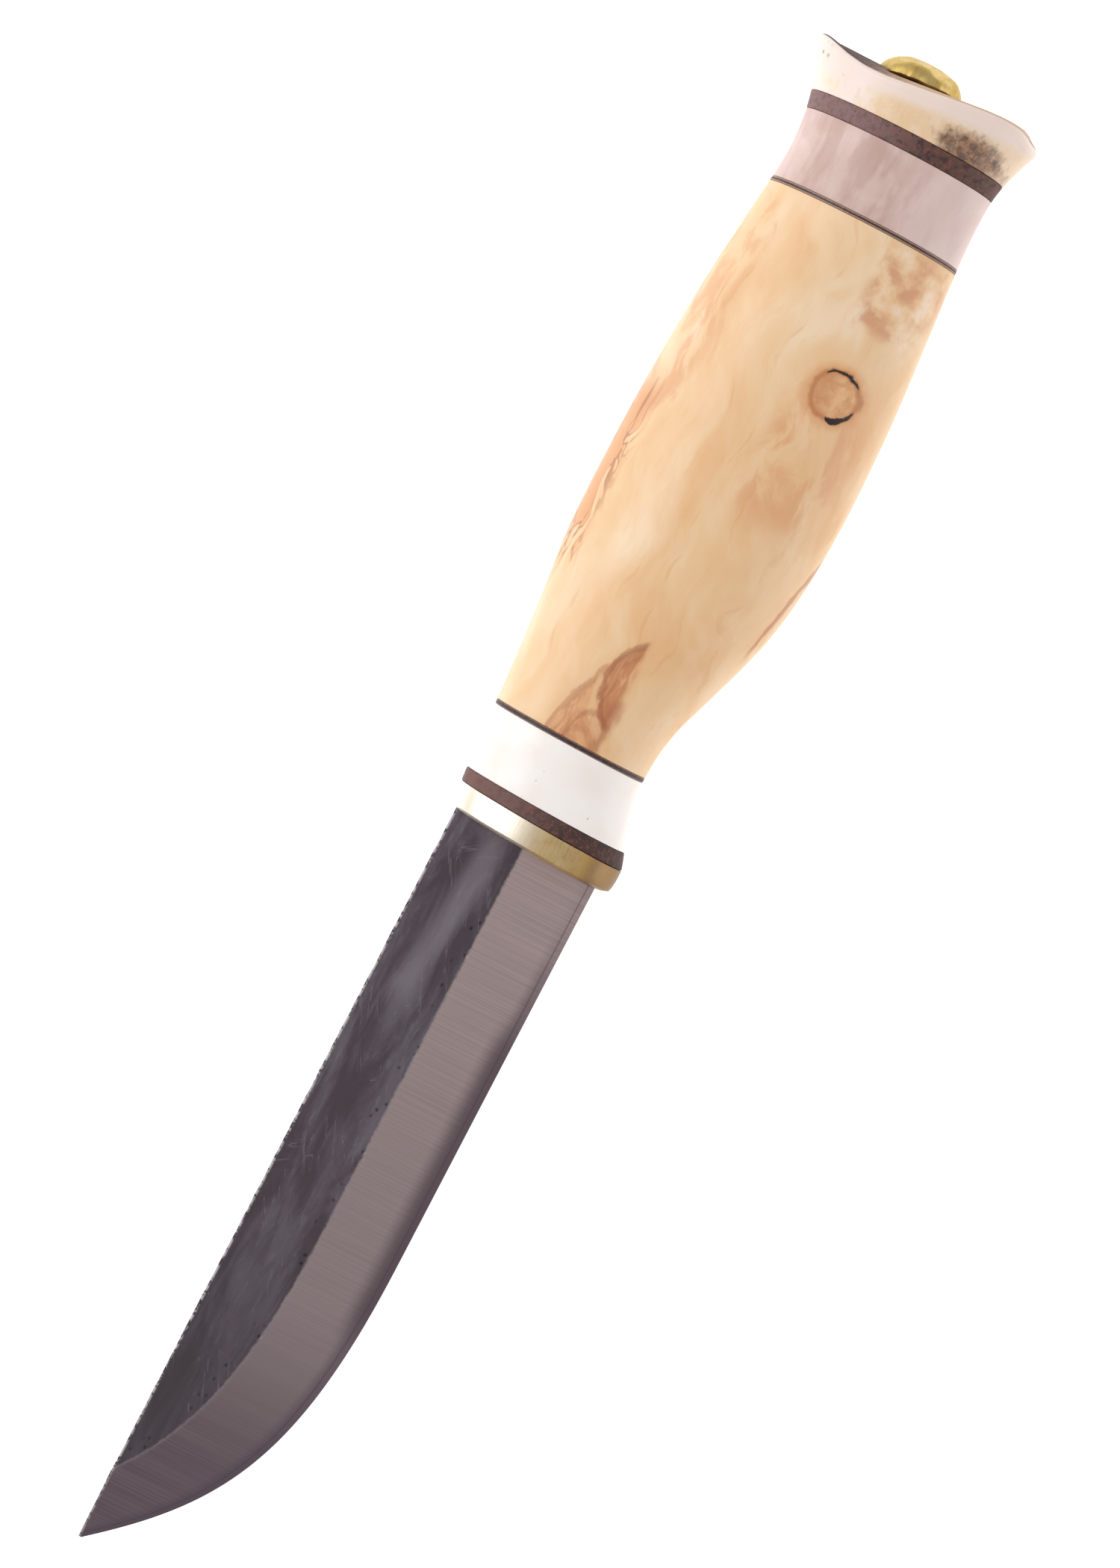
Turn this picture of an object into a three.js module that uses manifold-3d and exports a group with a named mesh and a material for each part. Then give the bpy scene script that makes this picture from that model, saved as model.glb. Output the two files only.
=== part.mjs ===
// A puukko, the fixed-blade belt knife of the Nordic countries.
//
// A forged carbon steel blade carries a stick tang right through the handle. The handle is a stack
// threaded on that tang: a brass bolster, leather, bone, a black fibre liner, the curly birch grip, a
// second liner, reindeer antler, leather and an antler pommel. A domed brass nut on the threaded end of
// the tang pulls the stack together, and set resin beds the tang in the bore of the grip.
//
// Lengths are in millimetres. Inside the knife group, x = 0 is the bolster's face where the blade comes
// out, +X points to the point, +Y to the cutting edge and +Z out of the left face. "Depth" is a distance
// behind that bolster face, so a depth d lies at x = -d. The exported group moves the knife so that the
// origin is under the middle of it, on the surface that it lies on.
import * as THREE from "three";
import { mergeVertices } from "three/addons/utils/BufferGeometryUtils.js";
import Module from "manifold-3d";

const wasm = await Module();
wasm.setup();

// ---- Driving dimensions ----

// Blade
const bladeLength = 106; // from the bolster's face to the point
const bladeWidth = 20.5; // spine to cutting edge along the straight part
const bladeThickness = 3.6;
const bevelWidth = 10.4; // from the grind line down to the edge
const curvedEdgeLength = 50; // the last part of the edge, which curves up to the point
const microBevelWidth = 0.8;
const microBevelThickness = 0.5; // where the micro-bevel starts
const edgeThickness = 0.1;
const pointWidth = 0.4; // what is left of the width at the very point
const spineLand = 0.2; // narrow flat that the bevel leaves under the spine near the point

// Tang
const tangFrontWidth = 12;
const tangBackWidth = 6.4;
const tangBackThickness = 3;
const studDiameter = 5; // the round threaded end, shown without its thread
const studRoot = 4; // how far the stud is forged into the flat tang

// Handle stack, each length along the tang
const bolsterLength = 3.5;
const bolsterOverSpine = 1; // how far the bolster stands out past the blade on each side
const bolsterOverEdge = 1.8;
const bolsterFlare = 0.2; // the bolster grows by this much on each side towards the leather
const bolsterRound = 0.7; // rounding of the bolster's front rim
const frontLeatherLength = 2;
const boneLength = 8.9;
const linerLength = 0.6; // each of the two black liners
const gripLength = 75;
const rearAntlerLength = 9.6;
const rearLeatherLength = 2.3;
const pommelLength = 5.9; // at its lowest point, in the hollow of the butt

// Butt
const pommelRound = 0.9; // rounding of the pommel's rim
const nutDiameter = 11.2;
const nutHeight = 2.4;
const nutSkirt = 0.7; // the upright rim below the nut's dome
const nutWall = 0.8; // brass left over the end of the stud

// What fits with what
const glueLine = 0.05; // between neighbours in the stack
const tangClearance = 0.25; // around the tang and the stud
const resinWall = 1.2; // set resin around the widest part of the tang
const beddingGap = 0.15; // between the resin and the wall of the grip's bore

// Fineness
const ringSegments = 48;
const rimSteps = 2; // pairs of steps around a rounded rim
const bladeSteps = 40;
const straightShare = 0.25; // of those steps, the share along the straight part of the edge

// ---- Places along the handle, as depths behind the bolster's face ----

const stackLengths = {
  bolster: bolsterLength,
  front_leather_spacer: frontLeatherLength,
  front_bone_spacer: boneLength,
  front_liner: linerLength,
  grip: gripLength,
  rear_liner: linerLength,
  rear_antler_spacer: rearAntlerLength,
  rear_leather_spacer: rearLeatherLength,
  antler_pommel: pommelLength,
};
const span = {}; // name: { front, back }
let depthSoFar = 0;
for (const [name, length] of Object.entries(stackLengths)) {
  span[name] = { front: depthSoFar, back: depthSoFar + length };
  depthSoFar += length + glueLine;
}
const gripAt = (share) => span.grip.front + share * gripLength;
const halfway = ({ front, back }) => (front + back) / 2;

// ---- The handle's outline ----

// Half-width towards the spine and towards the edge, and half the thickness, at named places. The whole
// stack is ground to this one flowing shape after it is glued up.
const faceSpine = bladeWidth / 2 + bolsterOverSpine;
const faceEdge = bladeWidth / 2 + bolsterOverEdge;
const sections = [
  { at: span.bolster.front, spine: faceSpine, edge: faceEdge, half: 7.0 },
  { at: span.bolster.back, spine: faceSpine + bolsterFlare, edge: faceEdge + bolsterFlare, half: 7.1 },
  { at: span.front_leather_spacer.back, spine: 11.6, edge: 11.5, half: 7.2 },
  { at: halfway(span.front_bone_spacer), spine: 11.9, edge: 10.1, half: 7.6 },
  { at: span.front_liner.back, spine: 12.2, edge: 9.4, half: 8.1 }, // neck
  { at: gripAt(0.08), spine: 12.6, edge: 10.0, half: 8.8 },
  { at: gripAt(0.19), spine: 13.3, edge: 12.7, half: 9.7 },
  { at: gripAt(0.31), spine: 14.2, edge: 15.4, half: 10.5 },
  { at: gripAt(0.47), spine: 14.4, edge: 16.8, half: 11.0 }, // belly
  { at: gripAt(0.68), spine: 14.0, edge: 16.7, half: 10.8 },
  { at: gripAt(0.85), spine: 13.1, edge: 15.8, half: 9.9 },
  { at: span.rear_liner.front, spine: 11.9, edge: 14.8, half: 9.1 },
  { at: halfway(span.rear_antler_spacer), spine: 11.5, edge: 14.5, half: 8.8 }, // waist
  { at: span.rear_leather_spacer.front, spine: 12.0, edge: 14.6, half: 9.1 },
  { at: span.rear_leather_spacer.back, spine: 12.5, edge: 15.0, half: 9.5 },
  { at: halfway(span.antler_pommel), spine: 13.6, edge: 15.9, half: 10.1 },
  { at: span.antler_pommel.back, spine: 14.8, edge: 16.7, half: 10.6 }, // horns of the butt
];
const outline = new THREE.CubicInterpolant(
  sections.map((s) => s.at),
  sections.flatMap((s) => [s.spine, s.edge, s.half]),
  3,
  new Float64Array(3),
);

// A point of the handle's solid: share 0 is the middle of the section and 1 its surface.
function handlePoint(depth, shareY, shareZ) {
  const [spine, edge, half] = outline.evaluate(depth);
  const middle = (edge - spine) / 2;
  return new THREE.Vector3(
    -depth,
    middle + (shareY * (edge + spine)) / 2,
    shareZ * half,
  );
}

// The butt's face, from the horn on the spine's side (y < 0), through the hollow, to the longer horn on
// the edge's side. rise is how far it stands behind the lowest point of the hollow.
const buttFace = [
  { y: -15, rise: 1.8 },
  { y: -9.5, rise: 0 },
  { y: 0, rise: 0.8 },
  { y: 12, rise: 2.1 },
  { y: 17, rise: 1.4 },
];
const buttRise = new THREE.CubicInterpolant(
  buttFace.map((p) => p.y),
  buttFace.map((p) => p.rise),
  1,
  new Float64Array(1),
);
const buttDepth = (y) => span.antler_pommel.back + buttRise.evaluate(y)[0];

// ---- Geometry helpers ----

function reshape(geometry, place) {
  const position = geometry.attributes.position;
  const point = new THREE.Vector3();
  for (let i = 0; i < position.count; i++) {
    point.fromBufferAttribute(position, i);
    position.setXYZ(i, ...place(point));
  }
  return geometry;
}

function solid(geometry) {
  const bare = geometry.clone();
  bare.deleteAttribute("normal");
  bare.deleteAttribute("uv");
  const merged = mergeVertices(bare, 1e-4);
  return new wasm.Manifold(
    new wasm.Mesh({
      numProp: 3,
      vertProperties: merged.attributes.position.array,
      triVerts: new Uint32Array(merged.index.array),
    }),
  );
}

function geometryOf(manifold) {
  const { vertProperties, triVerts } = manifold.getMesh();
  const geometry = new THREE.BufferGeometry();
  geometry.setAttribute("position", new THREE.BufferAttribute(vertProperties, 3));
  geometry.setIndex(new THREE.BufferAttribute(triVerts, 1));
  geometry.computeVertexNormals();
  return geometry;
}

// Half the profile of a turned blank: x is a share of the section, from 0 at its middle to 1 at its
// surface, and y is a depth. frontRound and backRound round its two rims.
function blankProfile({ front, back }, { rows = 2, frontRound = 0, backRound = 0, faceRings = 1 }) {
  const { PI } = Math;
  const radius = outline.evaluate((front + back) / 2)[2];
  const frontShare = frontRound / radius;
  const backShare = backRound / radius;
  const sideFront = front + frontRound;
  const sideBack = back - backRound;
  const path = new THREE.Path();
  path.moveTo(0, front);
  path.lineTo(1 - frontShare, front);
  if (frontRound) path.absellipse(1 - frontShare, sideFront, frontShare, frontRound, -PI / 2, 0);
  for (let i = 1; i <= rows; i++) {
    path.lineTo(1, THREE.MathUtils.lerp(sideFront, sideBack, i / rows));
  }
  if (backRound) path.absellipse(1 - backShare, sideBack, backShare, backRound, 0, PI / 2);
  for (let i = faceRings - 1; i >= 0; i--) {
    path.lineTo(((1 - backShare) * i) / faceRings, back);
  }
  return path.getPoints(rimSteps);
}

// A turned blank pressed into the handle's oval outline. With backDepth, a function of the distance from
// the axis, it stretches evenly from its flat front face to that back face.
function ovalBlank({ front, back }, { backDepth, ...shape } = {}) {
  const blank = new THREE.LatheGeometry(blankProfile({ front, back }, shape), ringSegments);
  return reshape(blank, (p) => {
    const placed = handlePoint(p.y, p.x, p.z);
    if (!backDepth) return placed;
    const share = (p.y - front) / (back - front);
    return handlePoint(THREE.MathUtils.lerp(front, backDepth(placed.y), share), p.x, p.z);
  });
}

// A straight-sided bar between two depths, oblong in section, with its own width and thickness at each.
function taperedBar(front, back, frontSize, backSize) {
  const bar = new THREE.BoxGeometry(1, 1, 1);
  return reshape(bar, (p) => {
    const share = p.x < 0 ? 1 : 0;
    const width = THREE.MathUtils.lerp(frontSize.width, backSize.width, share);
    const thickness = THREE.MathUtils.lerp(frontSize.thickness, backSize.thickness, share);
    return new THREE.Vector3(-THREE.MathUtils.lerp(front, back, share), p.y * width, p.z * thickness);
  });
}

// A round bar along the axis between two depths.
function roundBar(front, back, diameter) {
  const bar = new THREE.CylinderGeometry(diameter / 2, diameter / 2, back - front, ringSegments / 2);
  bar.rotateZ(Math.PI / 2);
  bar.translate(-(front + back) / 2, 0, 0);
  return bar;
}

// ---- Blade and tang ----

// The edge's curve up to the point, as distances from the point: along the blade and down from the spine.
const edgeCurve = new THREE.CubicBezierCurve(
  new THREE.Vector2(0, pointWidth),
  new THREE.Vector2(0.24 * curvedEdgeLength, 0.71 * bladeWidth),
  new THREE.Vector2(0.44 * curvedEdgeLength, bladeWidth),
  new THREE.Vector2(curvedEdgeLength, bladeWidth),
);

// Place and width of the blade's section after this share of the steps from the shoulder to the point.
function bladeStation(share) {
  if (share <= straightShare) {
    const straightLength = bladeLength - curvedEdgeLength;
    return { x: THREE.MathUtils.lerp(glueLine, straightLength, share / straightShare), width: bladeWidth };
  }
  const onCurve = edgeCurve.getPoint((1 - share) / (1 - straightShare));
  return { x: bladeLength - onCurve.x, width: onCurve.y };
}

// The blade's cross-section has four lines along each face: spine, grind line, micro-bevel and edge.
function bladeBody() {
  const plate = new THREE.BoxGeometry(1, 1, 1, bladeSteps, 3, 1);
  return reshape(plate, (p) => {
    const { x, width } = bladeStation(p.x + 0.5);
    const grindDrop = Math.max(width - bevelWidth, Math.min(spineLand, width * 0.2));
    const microDrop = width - Math.min(microBevelWidth, width * 0.3);
    const spineThickness = bladeThickness * Math.min(1, width / bevelWidth);
    const microThickness = Math.min(microBevelThickness, spineThickness * 0.4);
    const lines = [
      { drop: 0, thickness: spineThickness },
      { drop: grindDrop, thickness: spineThickness },
      { drop: microDrop, thickness: microThickness },
      { drop: width, thickness: edgeThickness },
    ];
    const line = lines[Math.round((p.y + 0.5) * 3)];
    return new THREE.Vector3(x, line.drop - bladeWidth / 2, p.z * line.thickness);
  });
}

const nutSeat = buttDepth(nutDiameter / 2) + glueLine; // the nut bears on the higher, edge side
const studEnd = nutSeat + nutHeight - nutWall - tangClearance;
const tangBack = span.rear_antler_spacer.front - tangClearance;
const tangFrontSize = { width: tangFrontWidth, thickness: bladeThickness };
const tangBackSize = { width: tangBackWidth, thickness: tangBackThickness };

function grown(size, by) {
  return { width: size.width + 2 * by, thickness: size.thickness + 2 * by };
}

function bladeWithTang() {
  const insideHeel = -2 * glueLine;
  const tang = taperedBar(insideHeel, tangBack, tangFrontSize, tangBackSize);
  const stud = roundBar(tangBack - studRoot, studEnd, studDiameter);
  return geometryOf(solid(bladeBody()).add(solid(tang)).add(solid(stud)));
}

// The room that the tang and the stud need, cut through everything that is threaded on them.
function tangRoom() {
  const flat = taperedBar(
    -1,
    tangBack + tangClearance,
    grown(tangFrontSize, tangClearance),
    grown(tangBackSize, tangClearance),
  );
  const round = roundBar(
    tangBack - studRoot - tangClearance,
    studEnd + tangClearance,
    studDiameter + 2 * tangClearance,
  );
  return solid(flat).add(solid(round));
}

// ---- Grip bore and its resin ----

// The resin is one size all the way, as the widest part of the tang or the stud needs, and the bore is one
// gap wider.
const tangLargest = { width: tangFrontWidth, thickness: Math.max(bladeThickness, studDiameter) };
const resinSize = grown(tangLargest, tangClearance + resinWall);
const boreSize = grown(resinSize, beddingGap);

// ---- Nut ----

function domedNut() {
  const radius = nutDiameter / 2;
  const dome = new THREE.EllipseCurve(0, nutSkirt, radius, nutHeight - nutSkirt, 0, Math.PI / 2);
  const profile = [new THREE.Vector2(0, 0), new THREE.Vector2(radius, 0), ...dome.getPoints(8)];
  const turned = new THREE.LatheGeometry(profile, ringSegments / 2);
  return reshape(turned, (p) => new THREE.Vector3(-(nutSeat + p.y), p.x, p.z));
}

// ---- Materials ----

function material(color, roughness, metalness = 0) {
  return new THREE.MeshStandardMaterial({ color, roughness, metalness });
}
const steel = material(0x5c565b, 0.38, 1);
const brass = material(0xc9a64e, 0.3, 1);
const leather = material(0x4a2c24, 0.85);
const bone = material(0xefe6df, 0.35);
const fibre = material(0x2a2328, 0.6);
const birch = material(0xe3bd85, 0.35);
const antler = material(0xcbb5ab, 0.45);
const resin = material(0xb08a4a, 0.5);

// ---- Assembly ----

const knife = new THREE.Group();
const room = tangRoom();

function addPiece(name, geometry, finish) {
  const mesh = new THREE.Mesh(geometry, finish);
  mesh.name = name;
  knife.add(mesh);
}

function addThreaded(name, finish, options) {
  addPiece(name, geometryOf(solid(ovalBlank(span[name], options)).subtract(room)), finish);
}

addPiece("blade", bladeWithTang(), steel);
addThreaded("bolster", brass, { rows: 2, frontRound: bolsterRound });
addThreaded("front_leather_spacer", leather);
addThreaded("front_bone_spacer", bone, { rows: 5 });
addThreaded("front_liner", fibre, { rows: 1 });

const gripBlank = solid(ovalBlank(span.grip, { rows: 20 }));
const throughBore = solid(taperedBar(span.grip.front - 1, span.grip.back + 1, boreSize, boreSize));
addPiece("grip", geometryOf(gripBlank.subtract(throughBore)), birch);
const resinPlug = solid(taperedBar(span.grip.front, span.grip.back, resinSize, resinSize));
addPiece("tang_bedding", geometryOf(resinPlug.subtract(room)), resin);

addThreaded("rear_liner", fibre, { rows: 1 });
addThreaded("rear_antler_spacer", antler, { rows: 5 });
addThreaded("rear_leather_spacer", leather);
addThreaded("antler_pommel", antler, {
  rows: 5,
  backRound: pommelRound,
  backDepth: buttDepth,
  faceRings: 5,
});
addPiece("butt_nut", geometryOf(solid(domedNut()).subtract(room)), brass);

// The knife lies on its right face, with the origin under the middle of it.
const box = new THREE.Box3().setFromObject(knife);
const middle = box.getCenter(new THREE.Vector3());
knife.position.set(-middle.x, -middle.y, -box.min.z);

const part = new THREE.Group();
part.add(knife);

export default part;
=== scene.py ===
# %% [markdown]
# # A puukko, piece by piece
#
# A puukko is the belt knife of the Nordic countries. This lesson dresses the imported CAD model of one: the
# forged blade, and a handle stacked from brass, leather, bone, black fibre, curly birch and antler. Each
# piece is modelled again at the place and size that the CAD gives, finely enough for a close look, and then
# gets a finish made only of shader nodes.
#
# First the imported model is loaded. It is the frame that everything is measured from, in metres.

# %% Load the frame
import math

import bmesh
import bpy
from mathutils import Matrix, Vector


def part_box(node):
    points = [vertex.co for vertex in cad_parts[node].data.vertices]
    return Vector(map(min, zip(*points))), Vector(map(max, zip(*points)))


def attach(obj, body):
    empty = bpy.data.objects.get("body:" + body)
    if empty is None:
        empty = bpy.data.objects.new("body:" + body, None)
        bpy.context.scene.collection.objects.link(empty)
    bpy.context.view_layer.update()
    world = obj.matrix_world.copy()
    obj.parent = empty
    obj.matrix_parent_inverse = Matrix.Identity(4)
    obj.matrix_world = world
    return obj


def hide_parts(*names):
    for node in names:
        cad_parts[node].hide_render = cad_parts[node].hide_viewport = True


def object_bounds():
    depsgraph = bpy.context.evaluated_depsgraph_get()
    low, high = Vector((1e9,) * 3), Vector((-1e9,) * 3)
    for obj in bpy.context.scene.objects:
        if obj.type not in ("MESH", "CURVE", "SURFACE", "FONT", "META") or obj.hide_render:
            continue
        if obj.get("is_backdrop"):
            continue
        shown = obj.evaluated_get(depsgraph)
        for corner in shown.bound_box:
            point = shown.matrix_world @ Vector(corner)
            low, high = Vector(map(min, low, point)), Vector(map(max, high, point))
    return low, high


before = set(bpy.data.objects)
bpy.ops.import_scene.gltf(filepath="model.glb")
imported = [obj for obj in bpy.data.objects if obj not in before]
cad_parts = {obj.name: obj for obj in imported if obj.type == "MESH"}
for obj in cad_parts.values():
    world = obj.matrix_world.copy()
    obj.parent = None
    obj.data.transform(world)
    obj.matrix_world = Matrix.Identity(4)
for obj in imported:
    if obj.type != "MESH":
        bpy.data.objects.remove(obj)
cad_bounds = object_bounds()
MM = 0.001
TINY = 1e-7
print("pieces in the CAD model:", sorted(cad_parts))


def held(value, low=0, high=1):
    """Keeps a value between two limits."""
    return min(max(value, low), high)


def ramp(value, start, end):
    """Rises evenly from 0 at start to 1 at end, and stays level beyond them."""
    return held((value - start) / (end - start))


def read_off(samples, share):
    """The value between evenly spaced samples, at this share of the way along them."""
    place = held(share) * (len(samples) - 1)
    step = min(int(place), len(samples) - 2)
    return samples[step] + (samples[step + 1] - samples[step]) * (place - step)


# %% [markdown]
# ## Where the knife's own axes are
#
# A knife maker measures from the bolster's front face: so far back along the handle, so far out from the
# middle of the blade towards its edge or its spine. The frame gives those three planes. Depth is a distance
# behind the bolster's face, and across is a distance from the blade's middle line, positive to the edge.

# %% Find the face of the bolster and the middle of the blade
FACE_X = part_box("bolster")[1].x
CLEAR_OF_FACE = 1 * MM


def corners_beyond(node, x):
    """The corners of a CAD piece that lie further forward than x."""
    return [v.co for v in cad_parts[node].data.vertices if v.co.x > x]


blade_corners = corners_beyond("blade", FACE_X + CLEAR_OF_FACE)
SPINE_Y = min(c.y for c in blade_corners)
EDGE_Y = max(c.y for c in blade_corners)
MIDDLE_Y = (SPINE_Y + EDGE_Y) / 2
MIDDLE_Z = (min(c.z for c in blade_corners) + max(c.z for c in blade_corners)) / 2
BLADE_HALF = max(c.z for c in blade_corners) - MIDDLE_Z
POINT_X = max(c.x for c in blade_corners)
NEARLY_ALL = 0.999
GRIND_Y = max(c.y for c in blade_corners if c.z > MIDDLE_Z + BLADE_HALF * NEARLY_ALL)
BEVEL_WIDTH = EDGE_Y - GRIND_Y
print("blade", (POINT_X - FACE_X) / MM, "long,", (EDGE_Y - SPINE_Y) / MM, "wide, bevel", BEVEL_WIDTH / MM)


def depth_of(x):
    """Millimetres behind the bolster's face."""
    return (FACE_X - x) / MM


def across_of(y):
    """Millimetres from the blade's middle line, positive towards the edge."""
    return (y - MIDDLE_Y) / MM


# %% [markdown]
# ## Camera
#
# The knife lies flat and is seen from almost straight above, with the point down on the left. A long lens
# keeps the shape free of distortion. The distance, the three turns and the aim are all that has to be set.

# %% Set up the camera
LENS = 117.9
SENSOR_WIDTH = 36
CAMERA_DISTANCE = 660 * MM
TURN = math.radians(-117.54)
PITCH = math.radians(2.4)
ROLL = math.radians(4)
AIM_RIGHT = 4.36 * MM
AIM_UP = 8.20 * MM

camera_data = bpy.data.cameras.new("camera")
camera_data.lens = LENS
camera_data.sensor_width = SENSOR_WIDTH
camera = bpy.data.objects.new("camera", camera_data)
bpy.context.scene.collection.objects.link(camera)
bpy.context.scene.camera = camera
knife_turn = Matrix.Rotation(TURN, 4, "Z") @ Matrix.Rotation(PITCH, 4, "Y") @ Matrix.Rotation(ROLL, 4, "X")
knife_place = Matrix.Translation((FACE_X, MIDDLE_Y, MIDDLE_Z))
camera_reach = Matrix.Translation((AIM_RIGHT, AIM_UP, CAMERA_DISTANCE))
camera.matrix_world = knife_place @ knife_turn.inverted() @ camera_reach
print("camera at", [round(v, 4) for v in camera.matrix_world.translation])

# %% [markdown]
# ## Floor and light
#
# A pale sheet under the knife, a soft white room and two soft boxes: a strong one on the spine's side and a
# low, weaker one on the edge's side. The first burns the spine's side of the bone to white and, with a
# painted highlight, the brass too, while the top of the blade mirrors only the dim room above it and stays
# dark.

# %% Helpers for objects
def nothing_selected():
    """Leaves edit mode and lets go of everything, as an operator acts on all that is selected."""
    if bpy.context.object and bpy.context.object.mode == "EDIT":
        bpy.ops.object.mode_set(mode="OBJECT")
    bpy.ops.object.select_all(action="DESELECT")


def named(name):
    """Names the object that an operator has just made."""
    made = bpy.context.object
    made.name = name
    made.data.name = name
    return made


# %% Lay the sheet
nothing_selected()
SHEET_WIDTH = 6.0
bpy.ops.mesh.primitive_grid_add(x_subdivisions=4, y_subdivisions=4, size=SHEET_WIDTH, location=(0, 0, 0))
sheet = named("sheet")
sheet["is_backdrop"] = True


# %% Hang the lights
def soft_box(name, side, tilt, distance, width, height, power):
    """An area light that looks at the knife from one side, tilted this many degrees from overhead."""
    light_data = bpy.data.lights.new(name, "AREA")
    light_data.shape = "RECTANGLE"
    light_data.size = width
    light_data.size_y = height
    light_data.energy = power
    light = bpy.data.objects.new(name, light_data)
    bpy.context.scene.collection.objects.link(light)
    turned = Matrix.Rotation(math.radians(side), 4, "Z") @ Matrix.Rotation(math.radians(tilt), 4, "X")
    light.matrix_world = turned @ Matrix.Translation((0, 0, distance))


soft_box("spine_side_box", side=-6, tilt=44, distance=0.75, width=0.9, height=0.45, power=3.6)
soft_box("edge_side_box", side=186, tilt=80, distance=0.9, width=0.9, height=0.5, power=2.2)
room = bpy.data.worlds.new("soft_room")
bpy.context.scene.world = room
room.use_nodes = True
room.node_tree.nodes["Background"].inputs["Color"].default_value = (1.0, 0.97, 0.96, 1)
room.node_tree.nodes["Background"].inputs["Strength"].default_value = 0.5
bpy.context.scene.view_settings.view_transform = "Standard"
bpy.context.scene.view_settings.look = "None"
bpy.context.scene.view_settings.exposure = 0

# %% [markdown]
# ## Measuring the CAD model
#
# Every handle piece is an oval in section, ground to one flowing outline. Rather than repeat that outline,
# each piece is measured: a plane is laid across the CAD piece, and the edges that it cuts give the lowest
# and highest points of the section.

# %% Measure a section
INSIDE = 0.02 * MM
edge_ends = {}
for node, cad_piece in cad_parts.items():
    corners = [v.co for v in cad_piece.data.vertices]
    edge_ends[node] = [(corners[e.vertices[0]], corners[e.vertices[1]]) for e in cad_piece.data.edges]


def section_of(node, x):
    """Centre y, half-width and half-thickness of a CAD piece where the plane at x cuts it."""
    low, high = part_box(node)
    x = held(x, low.x + INSIDE, high.x - INSIDE)
    cuts = [a.lerp(b, (x - a.x) / (b.x - a.x)) for a, b in edge_ends[node] if (a.x - x) * (b.x - x) < 0]
    ys = [cut.y for cut in cuts]
    zs = [cut.z for cut in cuts]
    return (min(ys) + max(ys)) / 2, (max(ys) - min(ys)) / 2, (max(zs) - min(zs)) / 2


def smoothed(values, passes):
    """Each value averaged with its neighbours, the two ends kept."""
    for _ in range(passes):
        values = (
            values[:1]
            + [(a + 2 * b + c) / 4 for a, b, c in zip(values, values[1:], values[2:])]
            + values[-1:]
        )
    return values


print("grip's section at its belly:", section_of("grip", FACE_X - 50 * MM))


# %% [markdown]
# ## Two tools that shape every piece
#
# An oval blank is made as a wood turner would think of it: one ring at the front, drawn back station by
# station with extrude, each new ring stretched to the outline, then closed and its rims eased with bevel.
#
# The second tool pushes a surface by a rule. The rule gives each vertex a distance, the distances are kept
# as weights, and a Displace modifier without a texture moves each vertex by its weight. It does in one go
# what would take hundreds of small moves by hand.

# %% Draw an oval blank
RING = 96
RIM_ROOM = 1.2
LONG_PIECE_ROWS = 8


def oval_blank(name, node, rows, front_round, back_round, front_x=None, back_x=None):
    """A closed blank with a CAD piece's own outline, its two rims rounded."""
    low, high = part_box(node)
    front_x = high.x if front_x is None else front_x
    back_x = low.x if back_x is None else back_x
    side_front = front_x - RIM_ROOM * front_round
    side_back = back_x + RIM_ROOM * back_round
    places = [front_x] if front_round else []
    places += [side_front + (side_back - side_front) * i / rows for i in range(rows + 1)]
    places += [back_x] if back_round else []
    sections = [section_of(node, x) for x in places]
    passes = 2 if rows > LONG_PIECE_ROWS else 0
    centres, widths, halves = [smoothed(list(part), passes) for part in zip(*sections)]
    nothing_selected()
    bpy.ops.mesh.primitive_circle_add(
        vertices=RING,
        radius=1,
        fill_type="NGON",
        location=(places[0], centres[0], MIDDLE_Z),
        rotation=(0, math.pi / 2, 0),
    )
    blank = named(name)
    bpy.ops.object.transform_apply(location=True, rotation=True, scale=True)
    bpy.ops.object.mode_set(mode="EDIT")
    bpy.ops.mesh.select_all(action="SELECT")
    bpy.ops.transform.resize(
        value=(1, widths[0], halves[0]),
        center_override=(places[0], centres[0], MIDDLE_Z),
    )
    for i in range(1, len(places)):
        bpy.ops.mesh.extrude_region_move(
            TRANSFORM_OT_translate={"value": (places[i] - places[i - 1], centres[i] - centres[i - 1], 0)}
        )
        bpy.ops.transform.resize(
            value=(1, widths[i] / widths[i - 1], halves[i] / halves[i - 1]),
            center_override=(places[i], centres[i], MIDDLE_Z),
        )
    bpy.ops.mesh.select_all(action="SELECT")
    bpy.ops.mesh.normals_make_consistent(inside=False)
    for end_x, rounding in ((front_x, front_round), (back_x, back_round)):
        if rounding:
            select_edges(lambda a, b: max(abs(a.x - end_x), abs(b.x - end_x)) < TINY)
            bpy.ops.mesh.bevel(offset=rounding, segments=4, profile=0.5, affect="EDGES")
    bpy.ops.object.mode_set(mode="OBJECT")
    return blank


def select_edges(wanted):
    """In edit mode, selects the edges whose two ends pass the test."""
    bpy.ops.mesh.select_mode(type="EDGE")
    bpy.ops.mesh.select_all(action="DESELECT")
    shape = bmesh.from_edit_mesh(bpy.context.object.data)
    for edge in shape.edges:
        edge.select_set(wanted(edge.verts[0].co, edge.verts[1].co))
    shape.select_flush_mode()
    bmesh.update_edit_mesh(bpy.context.object.data)


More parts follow.
